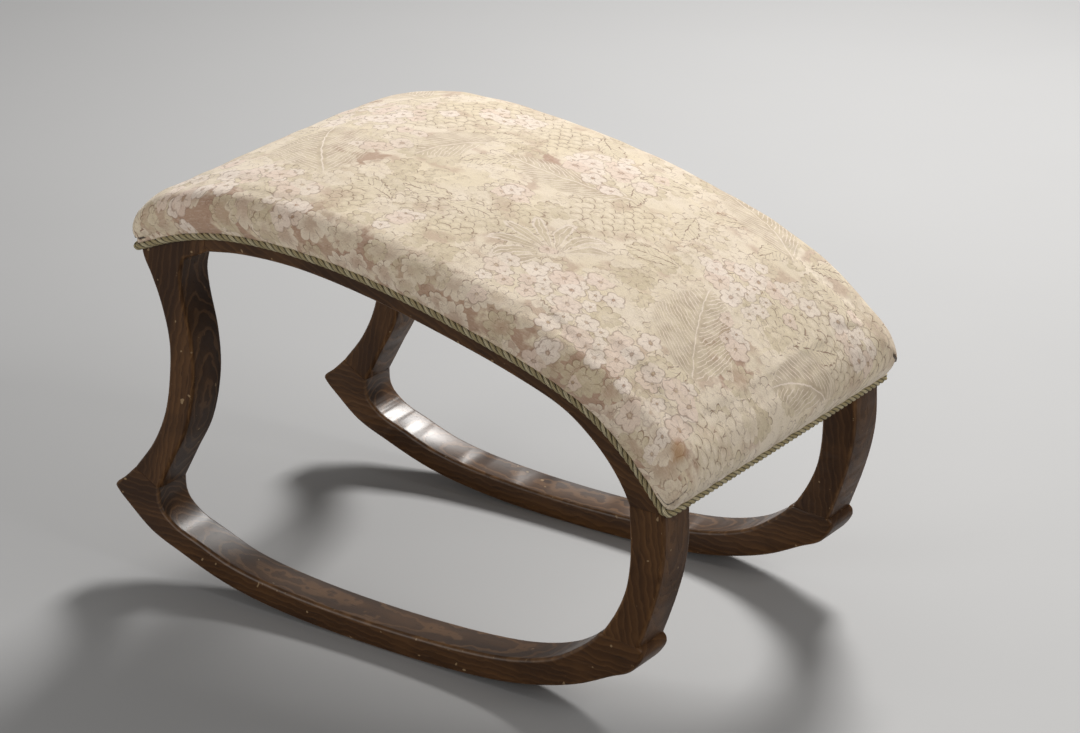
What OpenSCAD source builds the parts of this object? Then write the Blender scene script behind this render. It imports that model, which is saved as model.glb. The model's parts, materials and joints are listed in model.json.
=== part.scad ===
/* [Side frames] */
// Length from the heel spur to the outer face of the low leg
frame_length = 586; // [520:1:640]
// Height of the trim line above the floor at the crest of the seat
crest_height = 350; // [315:1:385]
// Depth of the stool over its two side frames
frame_depth = 342; // [300:1:380]
// Thickness of the boards that the members are sawn from
board = 40; // [36:1:44]
// Radius of the eased edges along every member
edge_ease = 3.5; // [2:0.5:5]

/* [Rockers] */
// Radius of the rolling edge at its middle
roll_radius = 1900; // [1500:50:2600]
// Depth of a rocker at its middle
rocker_depth = 22; // [19:0.5:25]

/* [Legs] */
// Width of a tall leg at its waist
tall_leg_width = 28; // [25:0.5:31]
// Width of a low leg
low_leg_width = 33; // [30:0.5:36]

/* [Seat frame] */
// Depth of a seat rail
rail_depth = 34; // [31:0.5:38]
// Thickness of the two end rails
end_rail_thick = 24; // [20:0.5:28]
// Depth of the tall end rail
tall_end_rail_depth = 34; // [28:1:38]
// Depth of the low end rail
low_end_rail_depth = 54; // [46:1:58]
// Length of a corner block along each rail
block_leg = 40; // [30:1:50]

/* [Joints] */
// Diameter of the dowels between legs, rockers and seat rails
leg_dowel_d = 9; // [7:0.5:10]
// Length of the dowels between legs, rockers and seat rails
leg_dowel_length = 32; // [26:1:36]
// Diameter of the dowels in the end rails
end_dowel_d = 8; // [6:0.5:9]
// Length of the dowels in the end rails
end_dowel_length = 48; // [40:1:52]
// Gap all round a dowel and between a soft piece and its neighbour
fit = 0.25; // [0.2:0.05:0.3]

/* [Webbing and cloth] */
// Thickness of the webbing
web_thick = 1.2; // [1:0.1:1.6]
// Width of the webbing
web_width = 46; // [40:1:52]
// Number of strips across the seat
cross_webs = 7; // [6:1:7]
// Number of strips along the seat
long_webs = 3; // [2:1:3]
// Thickness of the hessian
hessian_thick = 0.7; // [0.5:0.1:1]

/* [Upholstery] */
// Thickness of the seat cover
cover_thick = 1.2; // [1:0.1:1.6]
// Height of the cover above the trim line at the edge of the seat
pad_height = 37; // [35:0.5:42]
// Radius of the rounded top edge of the cover
pad_round = 21; // [18:0.5:24]
// How far the cover bellies out past the side frames
belly = 7.5; // [5:0.5:9]
// Rise of the crown in the middle of the seat
crown = 9; // [4:0.5:14]
// Outward lean of the seat's low end in degrees
low_end_lean = 22; // [18:1:28]
// Diameter of the trim cord
cord_d = 6.4; // [5:0.2:7.6]

/* [Hidden] */

wood = [0.27, 0.17, 0.10];
dowel_wood = [0.72, 0.56, 0.36];
jute = [0.62, 0.50, 0.33];
sacking = [0.66, 0.55, 0.38];
fibre = [0.45, 0.38, 0.28];
tapestry = [0.86, 0.78, 0.66];
gold_cord = [0.70, 0.62, 0.38];

// Outline points are shares of the frame's length and of the crest's height
outline = [frame_length, crest_height];
overrun = 5;
cord_sides = 8;
span_steps = 3;

// Spur at the heel, toe at the other end, and the point between them that stands on the floor
heel_share = [0, 0.2238];
toe_share = [0.9654, 0.19];
stand_share = 0.5024;

// Line of the trim cord along the side of the seat, from the tall end to the low end, and the
// share of the pad height that the cover rises over each point
trim_shares = [[0.0742, 0.9049, 1.175], [0.1532, 0.9569, 1.11], [0.2387, 0.9897, 1.06],
    [0.3323, 0.998, 1.015], [0.4268, 0.9897, 0.97], [0.5203, 0.9686, 0.965], [0.6138, 0.9377, 0.98],
    [0.7084, 0.8966, 0.985], [0.7969, 0.8514, 0.98], [0.8763, 0.794, 0.975],
    [0.9386, 0.7154, 1.035], [1.0034, 0.5957, 1.24]];

// Sections of the tall leg, foot to head: outer edge x and z, width, and its slant in degrees
tall_leg_shares = [[0.0428, 0.2926, 1.089, -29], [0.08, 0.3749, 0.893, -29],
    [0.106, 0.4694, 0.971, -21], [0.1186, 0.5809, 1.011, -5], [0.1201, 0.6723, 0.943, 7],
    [0.1072, 0.7666, 0.964, 14], [0.0918, 0.8323, 1.186, 6], [0.0763, 0.8891, 1.6, -4],
    [0.0753, 0.9377, 1.768, -18], [0.0865, 0.9694, 1.786, -27], [0.1333, 1.006, 1.5, -49]];

// Sections of the low leg, foot to top, written the same way
low_leg_shares = [[0.9596, 0.2249, 1.115, 174], [0.9705, 0.2754, 0.942, 166],
    [0.9829, 0.3383, 0.888, 166], [0.9939, 0.4097, 0.942, 174], [0.9997, 0.4814, 1.009, 180],
    [0.9988, 0.5837, 1.042, 180]];

// Sections of the seat rail from its joint at the tall leg: lower edge x and z, depth, and slant
rail_shares = [[0.201, 0.9334, 1.106, 98], [0.2647, 0.9486, 1.106, 90], [0.3671, 0.9511, 1, 86],
    [0.5034, 0.9226, 1, 80], [0.6387, 0.8743, 1, 76], [0.7462, 0.8274, 1, 71],
    [0.8297, 0.7777, 1, 62], [0.8754, 0.7251, 1, 48], [0.9078, 0.6711, 1.088, 30],
    [0.9292, 0.6206, 1.206, 19]];

// Pairs of outer and inner points round the spur, and round the toe
spur_shares = [[[0.0189, 0.2537], [0.0887, 0.2266]], [[0.0009, 0.228], [0.0904, 0.2094]],
    [[0.0043, 0.2149], [0.0947, 0.1937]], [[0.0256, 0.1826], [0.1049, 0.1757]],
    [[0.0682, 0.1263], [0.1254, 0.1543]]];
toe_shares = [[[0.9462, 0.1557], [0.8788, 0.208]], [[0.965, 0.198], [0.8874, 0.2237]],
    [[0.9654, 0.2137], [0.8908, 0.2309]]];

// Sections of the rocker between spur and toe: place, depth and slant
rocker_shares = [[0.128, 1.15, 44], [0.2133, 1.014, 67], [0.3242, 1.036, 76], [0.4949, 1.023, 90],
    [0.6741, 1.059, 103], [0.7679, 1.095, 114], [0.8532, 1.332, 138], [0.913, 1.695, 152]];

// Curves
function mix(a, b, t) = a + (b - a) * t;
function clamp(a, low, high) = min(max(a, low), high);
function scaled(p) = [p.x * outline.x, p.y * outline.y];
function slant(angle) = [cos(angle), sin(angle)];
function side_of(v) = [-v.y, v.x] / norm(v);
function reversed(p) = [for (i = [len(p) - 1:-1:0]) p[i]];

// Root of the chord between two knots, which keeps the curve from looping at close knots
function knot_gap(a, b) =
    sqrt(is_list(a[0]) ? norm(b[0] - a[0]) + norm(b[1] - a[1]) : norm(b - a));
function knot_slope(p, i) =
    let (last = len(p) - 1)
    i == 0 ? (p[1] - p[0]) / knot_gap(p[0], p[1]) :
    i == last ? (p[last] - p[last - 1]) / knot_gap(p[last - 1], p[last]) :
    let (before = knot_gap(p[i - 1], p[i]), after = knot_gap(p[i], p[i + 1]))
    ((p[i] - p[i - 1]) * after / before + (p[i + 1] - p[i]) * before / after) / (before + after);
function span_point(p, i, t) =
    let (gap = knot_gap(p[i], p[i + 1]), rest = 1 - t)
    mix(p[i], p[i + 1], t * t * (3 - 2 * t))
        + gap * t * rest * (knot_slope(p, i) * rest - knot_slope(p, i + 1) * t);
function smooth(p, steps) =
    concat([for (i = [0:len(p) - 2], k = [0:steps - 1]) span_point(p, i, k / steps)],
        [p[len(p) - 1]]);
function point_at(p, share) =
    let (place = clamp(share, 0, 1) * (len(p) - 1), i = min(floor(place), len(p) - 2))
    span_point(p, i, place - i);
function path_length(p, i = 0) =
    i > len(p) - 2 ? 0 : norm(p[i + 1] - p[i]) + path_length(p, i + 1);
function path_normal(p, i) = side_of(p[min(i + 1, len(p) - 1)] - p[max(i - 1, 0)]);
function raised(p, rise) = [for (i = [0:len(p) - 1]) p[i] + path_normal(p, i) * rise];
function band(p, low, high) = concat(raised(p, low), reversed(raised(p, high)));

// Sections of the side frame, each a pair: a point on the outer edge and one on the inner edge
heel = scaled(heel_share);
toe = scaled(toe_share);
stand_x = stand_share * frame_length;
function rolling_height(x) =
    let (d = x - stand_x, tip = d < 0 ? heel : toe, reach = tip.x - stand_x)
    d * d / (2 * roll_radius) + (tip.y - reach * reach / (2 * roll_radius)) * pow(d / reach, 4);
function outer_section(row, width) =
    let (p = scaled(row)) [p, p + slant(row[3]) * row[2] * width];
function inner_section(row, width) =
    let (p = scaled(row)) [p + slant(row[3]) * row[2] * width, p];
function rocker_section(row) =
    let (x = row[0] * frame_length, p = [x, rolling_height(x)])
    [p, p + slant(row[2]) * row[1] * rocker_depth];

rail_knots = [for (row = rail_shares) inner_section(row, rail_depth)];
tall_leg_knots = concat([for (row = tall_leg_shares) outer_section(row, tall_leg_width)],
    [rail_knots[0]]);
low_leg_knots = [for (row = low_leg_shares) outer_section(row, low_leg_width)];
low_leg_top = low_leg_knots[len(low_leg_knots) - 1];
rocker_knots = concat([tall_leg_knots[0]],
    [for (pair = spur_shares) [scaled(pair[0]), scaled(pair[1])]],
    [for (row = rocker_shares) rocker_section(row)],
    [for (pair = toe_shares) [scaled(pair[0]), scaled(pair[1])]], [low_leg_knots[0]]);

tall_leg_line = smooth(tall_leg_knots, span_steps);
low_leg_line = smooth(low_leg_knots, span_steps);
rail_line = smooth(concat(rail_knots, [low_leg_top]), span_steps);
rocker_line = smooth(rocker_knots, span_steps);

// Sections of the seat frame's side view: the head of the tall leg, then the whole rail
head_rows = 7;
head_start = head_rows * span_steps;
head_line = [for (i = [head_start:len(tall_leg_line) - 2]) tall_leg_line[i]];
seat_frame_line = concat(head_line, rail_line);
function outer_edge(line) = [for (pair = line) pair[0]];
function inner_edge(line) = [for (pair = line) pair[1]];
function outline_of(line) = concat(outer_edge(line), reversed(inner_edge(line)));
function narrowed(line, share) =
    [for (pair = line) [mix(pair[0], pair[1], share), mix(pair[1], pair[0], share)]];

// Line of the deck: the top edge of the seat frame between its two end rails
end_rows = 2;
deck_start = end_rows * span_steps;
deck_end = len(seat_frame_line) - end_rows * span_steps;
deck_line = [for (i = [deck_start:deck_end]) seat_frame_line[i][0]];
deck_length = path_length(deck_line);

// Length along the deck to each of its points, with the point's share of their number
deck_places = [for (i = [0:len(deck_line) - 1])
    [path_length([for (k = [0:i]) deck_line[k]]), i / (len(deck_line) - 1)]];
half_inside = frame_depth / 2 - board;

// The seat is a slab bent along the trim line: place along it, place across it, height above it
trim_knots = [for (row = trim_shares) [row.x * outline.x, row.y * outline.y, row.z]];
seat_length = path_length(smooth(trim_knots, span_steps));
function seat_point(along, across, height) =
    let (share = clamp(along / seat_length, 0, 1), past = along - share * seat_length,
        lean = low_end_lean * share * share,
        trim = point_at(trim_knots, share),
        p = [trim.x, trim.y] + past * slant(-lean) + height * trim.z * slant(90 - lean))
    [p.x, across, p.y];

// Stations round the rim of the seat, close together at its corners
corner_stations = [0, 0.586, 1];
long_stations = 18;
short_stations = 5;
hem_corner = 6;
top_corner = 20;
function stations(low, high, count) =
    let (inner_low = low + top_corner, inner_high = high - top_corner)
    concat([for (c = corner_stations) low + c * top_corner],
        [for (i = [1:count - 1]) mix(inner_low, inner_high, i / count)],
        [for (c = reversed(corner_stations)) high - c * top_corner]);
nu = long_stations + 4;
nv = short_stations + 4;
rim = 2 * (nu + nv);
function rounded_place(p, low, high, radius) =
    let (c = [clamp(p.x, low.x + radius, high.x - radius),
            clamp(p.y, low.y + radius, high.y - radius)], d = p - c)
    d.x == 0 || d.y == 0 ? p : c + radius * d / norm(d);
function rim_places(outset, radius) =
    let (low = [-outset, -frame_depth / 2 - outset],
        high = [seat_length + outset, frame_depth / 2 + outset],
        a = stations(low.x, high.x, long_stations), b = stations(low.y, high.y, short_stations))
    [for (p = concat([for (i = [0:nu]) [a[i], low.y]], [for (j = [1:nv]) [high.x, b[j]]],
        [for (i = [nu - 1:-1:0]) [a[i], high.y]], [for (j = [nv - 1:-1:1]) [low.x, b[j]]]))
        rounded_place(p, low, high, radius)];

// Rows of the cover from hem to top edge, each as outset and height, at a depth under its skin
hem_height = cord_d / 2 + fit;
round_rows = 5;
flank_shares = [0.72, 0.45];
flank_height = pad_height - pad_round;
function cover_rows(depth, foot) =
    concat([[cover_thick + fit + (foot - hem_height) * belly / flank_height - depth, foot],
        [mix(cover_thick + fit, belly, flank_shares.x) - depth,
            mix(hem_height, flank_height, flank_shares.y)]],
        [for (k = [0:round_rows - 1]) let (a = 90 * k / (round_rows - 1))
            [belly - pad_round + (pad_round - depth) * cos(a),
            flank_height + (pad_round - depth) * sin(a)]]);
function corner_radius(height) = mix(hem_corner, top_corner, clamp(height / pad_height, 0, 1));
function row_points(row) =
    [for (p = rim_places(row[0], corner_radius(row[1]))) seat_point(p.x, p.y, row[1])];
function crown_shape(p, outset) =
    let (a = 2 * p.x / seat_length - 1, b = 2 * p.y / (frame_depth + 2 * outset))
    (1 - pow(a, 4)) * (1 - b * b);
function field_points(row, rise) =
    let (low = [-row[0], -frame_depth / 2 - row[0]],
        a = stations(low.x, seat_length + row[0], long_stations),
        b = stations(low.y, frame_depth / 2 + row[0], short_stations))
    [for (i = [1:nu - 1], j = [1:nv - 1])
        seat_point(a[i], b[j], row[1] + rise * crown_shape([a[i], b[j]], row[0]))];
function surface_points(rows) =
    concat([for (row = rows) each row_points(row)], field_points(rows[len(rows) - 1], crown));

// Faces: strips between rows of the rim, and the field inside the last row
function rim_index(i, j) =
    j == 0 ? i : i == nu ? nu + j : j == nv ? 2 * nu + nv - i : rim - j;
function field_index(i, j, row_start, field_start) =
    i == 0 || j == 0 || i == nu || j == nv ? row_start + rim_index(i, j) :
    field_start + (i - 1) * (nv - 1) + j - 1;
function turned(faces) = [for (f = faces) reversed(f)];
function strip(low, high) =
    [for (j = [0:rim - 1]) let (n = (j + 1) % rim)
        each [[low + j, high + j, high + n], [low + j, high + n, low + n]]];
function field_faces(row_start, field_start) =
    [for (i = [0:nu - 1], j = [0:nv - 1])
        let (a = field_index(i, j, row_start, field_start),
            b = field_index(i + 1, j, row_start, field_start),
            c = field_index(i + 1, j + 1, row_start, field_start),
            d = field_index(i, j + 1, row_start, field_start))
        each (i + j) % 2 == 0 ? [[a, d, c], [a, c, b]] : [[a, d, b], [d, c, b]]];
function surface_faces(rows, start) =
    concat([for (k = [0:rows - 2]) each strip(start + k * rim, start + (k + 1) * rim)],
        field_faces(start + (rows - 1) * rim, start + rows * rim));

// Middle of the whole stool along its length, between the spur and the nose of the cover
nose_x = max([for (p = surface_points(cover_rows(0, hem_height))) p.x]);
spur_x = min([for (pair = rocker_line) pair[0].x]);
middle_x = (nose_x + spur_x) / 2;

// A sawn member with eased edges, lofted through its sections across the board
ease_bevel = edge_ease * (1 - cos(45));
function ring(pair) =
    let (w = norm(pair[1] - pair[0]), across = (pair[1] - pair[0]) / w,
        corner = [[0, edge_ease], [ease_bevel, ease_bevel], [edge_ease, 0]],
        quarter = concat(corner, [for (c = reversed(corner)) [w - c.x, c.y]]),
        whole = concat(quarter, [for (c = reversed(quarter)) [c.x, board - c.y]]))
    [for (c = whole) let (p = pair[0] + across * c.x) [p.x, c.y - frame_depth / 2, p.y]];
ring_size = 12;
module front_member(line) {
    count = len(line);
    translate([-middle_x, 0, 0])
        polyhedron(
            points = [for (pair = line) each ring(pair)],
            faces = concat([[for (k = [0:ring_size - 1]) k]],
                [for (i = [0:count - 2], k = [0:ring_size - 1])
                    let (a = i * ring_size, b = a + ring_size, n = (k + 1) % ring_size)
                    each [[a + k, b + k, b + n], [a + k, b + n, a + n]]],
                [[for (k = [ring_size - 1:-1:0]) (count - 1) * ring_size + k]]));
}

module back() {
    mirror([0, 1, 0]) children();
}

// A side view, points in x and z, extruded across the stool
module across_stool(points, width) {
    translate([-middle_x, 0, 0])
        rotate([90, 0, 0])
            linear_extrude(height = width, center = true) polygon(points);
}

// Dowels: a pair at each seam, side by side across the board, along the leg
dowel_chamfer = 1;
dowel_facets = 32;
dowel_spread_share = 0.5;
module dowel(d, length) {
    rotate_extrude($fn = dowel_facets)
        polygon([[0, -length / 2], [d / 2 - dowel_chamfer, -length / 2],
            [d / 2, -length / 2 + dowel_chamfer], [d / 2, length / 2 - dowel_chamfer],
            [d / 2 - dowel_chamfer, length / 2], [0, length / 2]]);
}

module dowel_hole(d, length) {
    cylinder(d = d + 2 * fit, h = length + 2 * fit, center = true, $fn = dowel_facets);
}

// Stands children at the middle of a seam, pointing at the middle of another section
module at_seam(seam, target) {
    from = mix(seam[0], seam[1], 0.5);
    to = mix(target[0], target[1], 0.5);
    way = to - from;
    for (side = [-1, 1])
        translate([from.x - middle_x,
            (board - frame_depth + side * board * dowel_spread_share) / 2, from.y])
            rotate([0, atan2(way.x, way.y), 0]) children();
}

module at_rocker_seams() {
    at_seam(tall_leg_line[0], tall_leg_line[span_steps]) children();
    at_seam(low_leg_line[0], low_leg_line[span_steps]) children();
}

module at_rail_seams() {
    at_seam(rail_line[0], rail_line[span_steps]) children();
    at_seam(low_leg_top, low_leg_line[len(low_leg_line) - 1 - span_steps]) children();
}

// End rails: slabs that keep the curve of the side frames' outer edge
tall_rail_foot = [seat_frame_line[0][0].x, seat_frame_line[0][0].y];
low_rail_foot = [low_leg_top[0].x, point_at(trim_knots, 1).y - cord_d / 2];
low_rail_tilt = 16;
module tall_rail_slab(thick) {
    translate([tall_rail_foot.x - middle_x - overrun, -half_inside, tall_rail_foot.y])
        cube([thick + overrun, 2 * half_inside, tall_end_rail_depth]);
}

module low_rail_slab(thick) {
    translate([low_rail_foot.x - middle_x, 0, low_rail_foot.y])
        rotate([0, -low_rail_tilt, 0])
            translate([-thick, -half_inside, 0])
                cube([thick + overrun, 2 * half_inside, low_end_rail_depth]);
}

tall_dowel_shares = [0.28, 0.72];
low_dowel_shares = [0.5, 0.82];
module at_end_dowels() {
    for (share = tall_dowel_shares)
        translate([tall_rail_foot.x - middle_x + end_rail_thick / 2, -half_inside,
            tall_rail_foot.y + share * tall_end_rail_depth])
            rotate([90, 0, 0]) children();
    for (share = low_dowel_shares)
        translate([low_rail_foot.x - middle_x, -half_inside, low_rail_foot.y])
            rotate([0, -low_rail_tilt, 0])
                translate([-end_rail_thick / 2, 0, share * low_end_rail_depth])
                    rotate([90, 0, 0]) children();
}

// Corner blocks: three-sided in plan, cut to the curve of the seat frame
block_inset_share = 0.12;
module block_plan(x, way) {
    translate([x, -half_inside, 0])
        linear_extrude(height = crest_height + pad_height)
            polygon([[-way * end_rail_thick, 0], [way * block_leg, 0], [0, block_leg],
                [-way * end_rail_thick, block_leg]]);
}

module block_blank(x, way) {
    intersection() {
        across_stool(outline_of(narrowed(seat_frame_line, block_inset_share)), 2 * half_inside);
        block_plan(x, way);
    }
}

// Webbing: bands along the deck, the cross strips clear of the end rails
web_lift = fit;
web_inset_share = 1.5;
landing_share = 1.2;
web_inset = web_inset_share * end_rail_thick;
landing = landing_share * end_rail_thick;
cross_pitch = (deck_length - 2 * web_inset) / cross_webs;
function cross_middle(k) = web_inset + (k + 0.5) * cross_pitch;
function deck_point(along) = point_at(deck_line, lookup(along, deck_places));
function deck_span(from, to, steps) = [for (i = [0:steps]) deck_point(mix(from, to, i / steps))];
web_margin = 5;
cross_end = frame_depth / 2 - edge_ease - web_margin;
web_steps = 4;
module cross_web(k) {
    half = web_width / 2;
    path = deck_span(cross_middle(k) - half, cross_middle(k) + half, web_steps);
    across_stool(band(path, web_lift, web_lift + web_thick), 2 * cross_end);
}

// Height of a lengthwise strip over the deck: over one cross strip, under the next
over_cross = web_lift + web_thick + fit;
under_cross = web_lift - web_thick - fit;
slope_share = 0.009;
function weave_knots(first) =
    concat([[0, over_cross], [landing, over_cross]],
        [for (k = [0:cross_webs - 1], i = [0:web_steps])
            [cross_middle(k) + web_width * (i / web_steps - 0.5),
            (k + first) % 2 == 0 ? over_cross : under_cross]],
        [[deck_length - landing, over_cross], [deck_length, over_cross]]);
function weave_line(first, rise) =
    [for (knot = weave_knots(first))
        let (step = slope_share * deck_length,
            way = deck_point(knot[0] + step) - deck_point(knot[0] - step))
        deck_point(knot[0]) + side_of(way) * (knot[1] + rise)];
long_pitch = 2 * half_inside / long_webs;
module long_web(k) {
    translate([0, (k - (long_webs - 1) / 2) * long_pitch, 0])
        across_stool(concat(weave_line(k, 0), reversed(weave_line(k, web_thick))), web_width);
}

hessian_lift = over_cross + web_thick + fit;
stuffing_lift = hessian_lift + hessian_thick + fit;

// Space that the seat frame and the deck take up inside the stuffing, the deck only on top
deck_slope = 0.5;
function frame_space() =
    let (edge = outer_edge(seat_frame_line))
    concat([for (i = [0:len(edge) - 1])
            let (n = path_normal(edge, i))
            edge[i] + n * (n.y > deck_slope ? stuffing_lift : fit)],
        reversed(inner_edge(seat_frame_line)));

module front_rocker() {
    color(wood)
        difference() {
            front_member(rocker_line);
            at_rocker_seams() dowel_hole(leg_dowel_d, leg_dowel_length);
        }
}

module back_rocker() {
    back() front_rocker();
}

module front_tall_leg() {
    color(wood)
        difference() {
            front_member(tall_leg_line);
            at_rocker_seams() dowel_hole(leg_dowel_d, leg_dowel_length);
            at_rail_seams() dowel_hole(leg_dowel_d, leg_dowel_length);
            at_end_dowels() dowel_hole(end_dowel_d, end_dowel_length);
        }
}

module back_tall_leg() {
    back() front_tall_leg();
}

module front_low_leg() {
    color(wood)
        difference() {
            front_member(low_leg_line);
            at_rocker_seams() dowel_hole(leg_dowel_d, leg_dowel_length);
            at_rail_seams() dowel_hole(leg_dowel_d, leg_dowel_length);
        }
}

module back_low_leg() {
    back() front_low_leg();
}

module front_seat_rail() {
    color(wood)
        difference() {
            front_member(rail_line);
            at_rail_seams() dowel_hole(leg_dowel_d, leg_dowel_length);
            at_end_dowels() dowel_hole(end_dowel_d, end_dowel_length);
        }
}

module back_seat_rail() {
    back() front_seat_rail();
}

module tall_end_rail() {
    color(wood)
        difference() {
            intersection() {
                across_stool(outline_of(seat_frame_line), 2 * half_inside);
                tall_rail_slab(end_rail_thick);
            }
            at_end_dowels() dowel_hole(end_dowel_d, end_dowel_length);
            back() at_end_dowels() dowel_hole(end_dowel_d, end_dowel_length);
        }
}

module low_end_rail() {
    color(wood)
        difference() {
            intersection() {
                across_stool(outline_of(seat_frame_line), 2 * half_inside);
                low_rail_slab(end_rail_thick);
            }
            at_end_dowels() dowel_hole(end_dowel_d, end_dowel_length);
            back() at_end_dowels() dowel_hole(end_dowel_d, end_dowel_length);
        }
}

module tall_corner_block() {
    difference() {
        block_blank(tall_rail_foot.x - middle_x + end_rail_thick, 1);
        tall_rail_slab(end_rail_thick);
    }
}

module low_corner_block() {
    foot_x = low_rail_foot.x - middle_x - end_rail_thick;
    difference() {
        block_blank(foot_x - low_end_rail_depth * sin(low_rail_tilt), -1);
        low_rail_slab(end_rail_thick);
    }
}

module tall_corner_blocks() {
    color(dowel_wood) {
        tall_corner_block();
        back() tall_corner_block();
    }
}

module low_corner_blocks() {
    color(dowel_wood) {
        low_corner_block();
        back() low_corner_block();
    }
}

module rocker_dowels() {
    color(dowel_wood) {
        at_rocker_seams() dowel(leg_dowel_d, leg_dowel_length);
        back() at_rocker_seams() dowel(leg_dowel_d, leg_dowel_length);
    }
}

module seat_rail_dowels() {
    color(dowel_wood) {
        at_rail_seams() dowel(leg_dowel_d, leg_dowel_length);
        back() at_rail_seams() dowel(leg_dowel_d, leg_dowel_length);
    }
}

module end_rail_dowels() {
    color(dowel_wood) {
        at_end_dowels() dowel(end_dowel_d, end_dowel_length);
        back() at_end_dowels() dowel(end_dowel_d, end_dowel_length);
    }
}

module cross_webbing() {
    color(jute)
        for (k = [0:cross_webs - 1])
            cross_web(k);
}

module long_webbing() {
    color(jute)
        for (k = [0:long_webs - 1])
            long_web(k);
}

module hessian() {
    color(sacking)
        across_stool(band(deck_line, hessian_lift, hessian_lift + hessian_thick), 2 * cross_end);
}

// The stuffing is the inside of the cover less the seat frame and the deck
stuffing_foot = hem_height + fit + edge_ease;
module stuffing() {
    rows = cover_rows(cover_thick + fit, stuffing_foot);
    points = surface_points(rows);
    floor_points = field_points(rows[0], 0);
    color(fibre)
        difference() {
            translate([-middle_x, 0, 0])
                polyhedron(
                    points = concat(points, floor_points),
                    faces = concat(surface_faces(len(rows), 0),
                        turned(field_faces(0, len(points)))));
            across_stool(frame_space(), frame_depth + 2 * fit);
        }
}

module seat_cover() {
    rows = cover_rows(0, hem_height);
    skin = surface_points(rows);
    lining = surface_points(cover_rows(cover_thick, hem_height));
    color(tapestry)
        translate([-middle_x, 0, 0])
            polyhedron(
                points = concat(skin, lining),
                faces = concat(surface_faces(len(rows), 0),
                    turned(surface_faces(len(rows), len(skin))), strip(len(skin), 0)));
}

// The trim cord: a tube round the rim, just outside the wood and just under the hem
module trim_cord() {
    places = rim_places(cord_d / 2 + fit, hem_corner);
    route = [for (p = places) seat_point(p.x, p.y, 0)];
    above = [for (p = places) seat_point(p.x, p.y, 1)];
    color(gold_cord)
        translate([-middle_x, 0, 0])
            polyhedron(
                points = [for (j = [0:rim - 1])
                    let (way = route[(j + 1) % rim] - route[(j + rim - 1) % rim],
                        side = cross(way, above[j] - route[j]), up = cross(side, way))
                    for (k = [0:cord_sides - 1])
                        let (a = 360 * (k + 0.5) / cord_sides)
                        route[j] + cord_d / 2 * (cos(a) * side / norm(side) + sin(a) * up / norm(up))],
                faces = [for (j = [0:rim - 1], k = [0:cord_sides - 1])
                    let (a = j * cord_sides, b = ((j + 1) % rim) * cord_sides,
                        n = (k + 1) % cord_sides)
                    each [[a + k, b + k, b + n], [a + k, b + n, a + n]]]);
}

front_rocker();
back_rocker();
front_tall_leg();
back_tall_leg();
front_low_leg();
back_low_leg();
front_seat_rail();
back_seat_rail();
tall_end_rail();
low_end_rail();
tall_corner_blocks();
low_corner_blocks();
rocker_dowels();
seat_rail_dowels();
end_rail_dowels();
cross_webbing();
long_webbing();
hessian();
stuffing();
seat_cover();
trim_cord();
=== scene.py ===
"""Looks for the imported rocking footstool: sawn oak members, cloth seat, twisted cord and stage."""

import json  # noqa: E402
import math  # noqa: E402

import bmesh  # noqa: E402
import bpy  # noqa: E402
import numpy as np  # noqa: E402
from bpy.props import (  # noqa: E402
    FloatProperty,
    FloatVectorProperty,
    IntProperty,
    PointerProperty,
)
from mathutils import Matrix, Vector, noise  # noqa: E402

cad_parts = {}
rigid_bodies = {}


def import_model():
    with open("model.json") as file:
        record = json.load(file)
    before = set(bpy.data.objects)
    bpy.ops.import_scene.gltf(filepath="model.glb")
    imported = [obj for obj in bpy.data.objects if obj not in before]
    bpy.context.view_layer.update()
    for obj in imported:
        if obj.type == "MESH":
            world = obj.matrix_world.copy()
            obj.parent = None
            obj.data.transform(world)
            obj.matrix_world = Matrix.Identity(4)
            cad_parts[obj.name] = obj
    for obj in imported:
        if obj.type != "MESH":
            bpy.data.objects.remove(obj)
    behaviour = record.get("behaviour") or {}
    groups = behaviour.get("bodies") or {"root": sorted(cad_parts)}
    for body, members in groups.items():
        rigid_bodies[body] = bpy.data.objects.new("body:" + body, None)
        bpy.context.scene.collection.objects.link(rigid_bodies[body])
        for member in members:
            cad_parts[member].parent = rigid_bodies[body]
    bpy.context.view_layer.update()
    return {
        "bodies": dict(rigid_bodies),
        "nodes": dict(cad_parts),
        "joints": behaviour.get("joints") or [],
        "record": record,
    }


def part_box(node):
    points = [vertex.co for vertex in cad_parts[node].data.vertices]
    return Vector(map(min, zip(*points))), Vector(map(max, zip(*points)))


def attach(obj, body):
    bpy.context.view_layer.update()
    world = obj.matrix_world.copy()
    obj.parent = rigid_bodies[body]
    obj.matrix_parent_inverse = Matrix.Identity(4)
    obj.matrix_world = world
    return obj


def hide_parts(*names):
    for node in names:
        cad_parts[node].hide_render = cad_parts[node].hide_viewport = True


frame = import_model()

bl_info = {
    "name": "Rocking footstool",
    "version": (1, 0, 0),
    "blender": (4, 5, 0),
    "location": "3D View > Sidebar > Footstool",
    "description": "Builds the looks of an upholstered rocking footstool over its packed frame",
    "category": "Object",
}

MM = 0.001

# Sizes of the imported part, in millimetres
FRAME_LENGTH = 586
CREST_HEIGHT = 350
FRAME_DEPTH = 342
BOARD = 40
EDGE_EASE = 3.5
ROLL_RADIUS = 1900
ROCKER_DEPTH = 22
TALL_LEG_WIDTH = 28
LOW_LEG_WIDTH = 33
RAIL_DEPTH = 34
END_RAIL_THICK = 24
FIT = 0.25
WEB_THICK = 1.2
WEB_WIDTH = 46
CROSS_WEBS = 7
LONG_WEBS = 3
HESSIAN_THICK = 0.7
COVER_THICK = 1.2
PAD_HEIGHT = 37
PAD_ROUND = 21
BELLY = 7.5
CROWN = 9
LOW_END_LEAN = 22
CORD_D = 6.4

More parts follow.
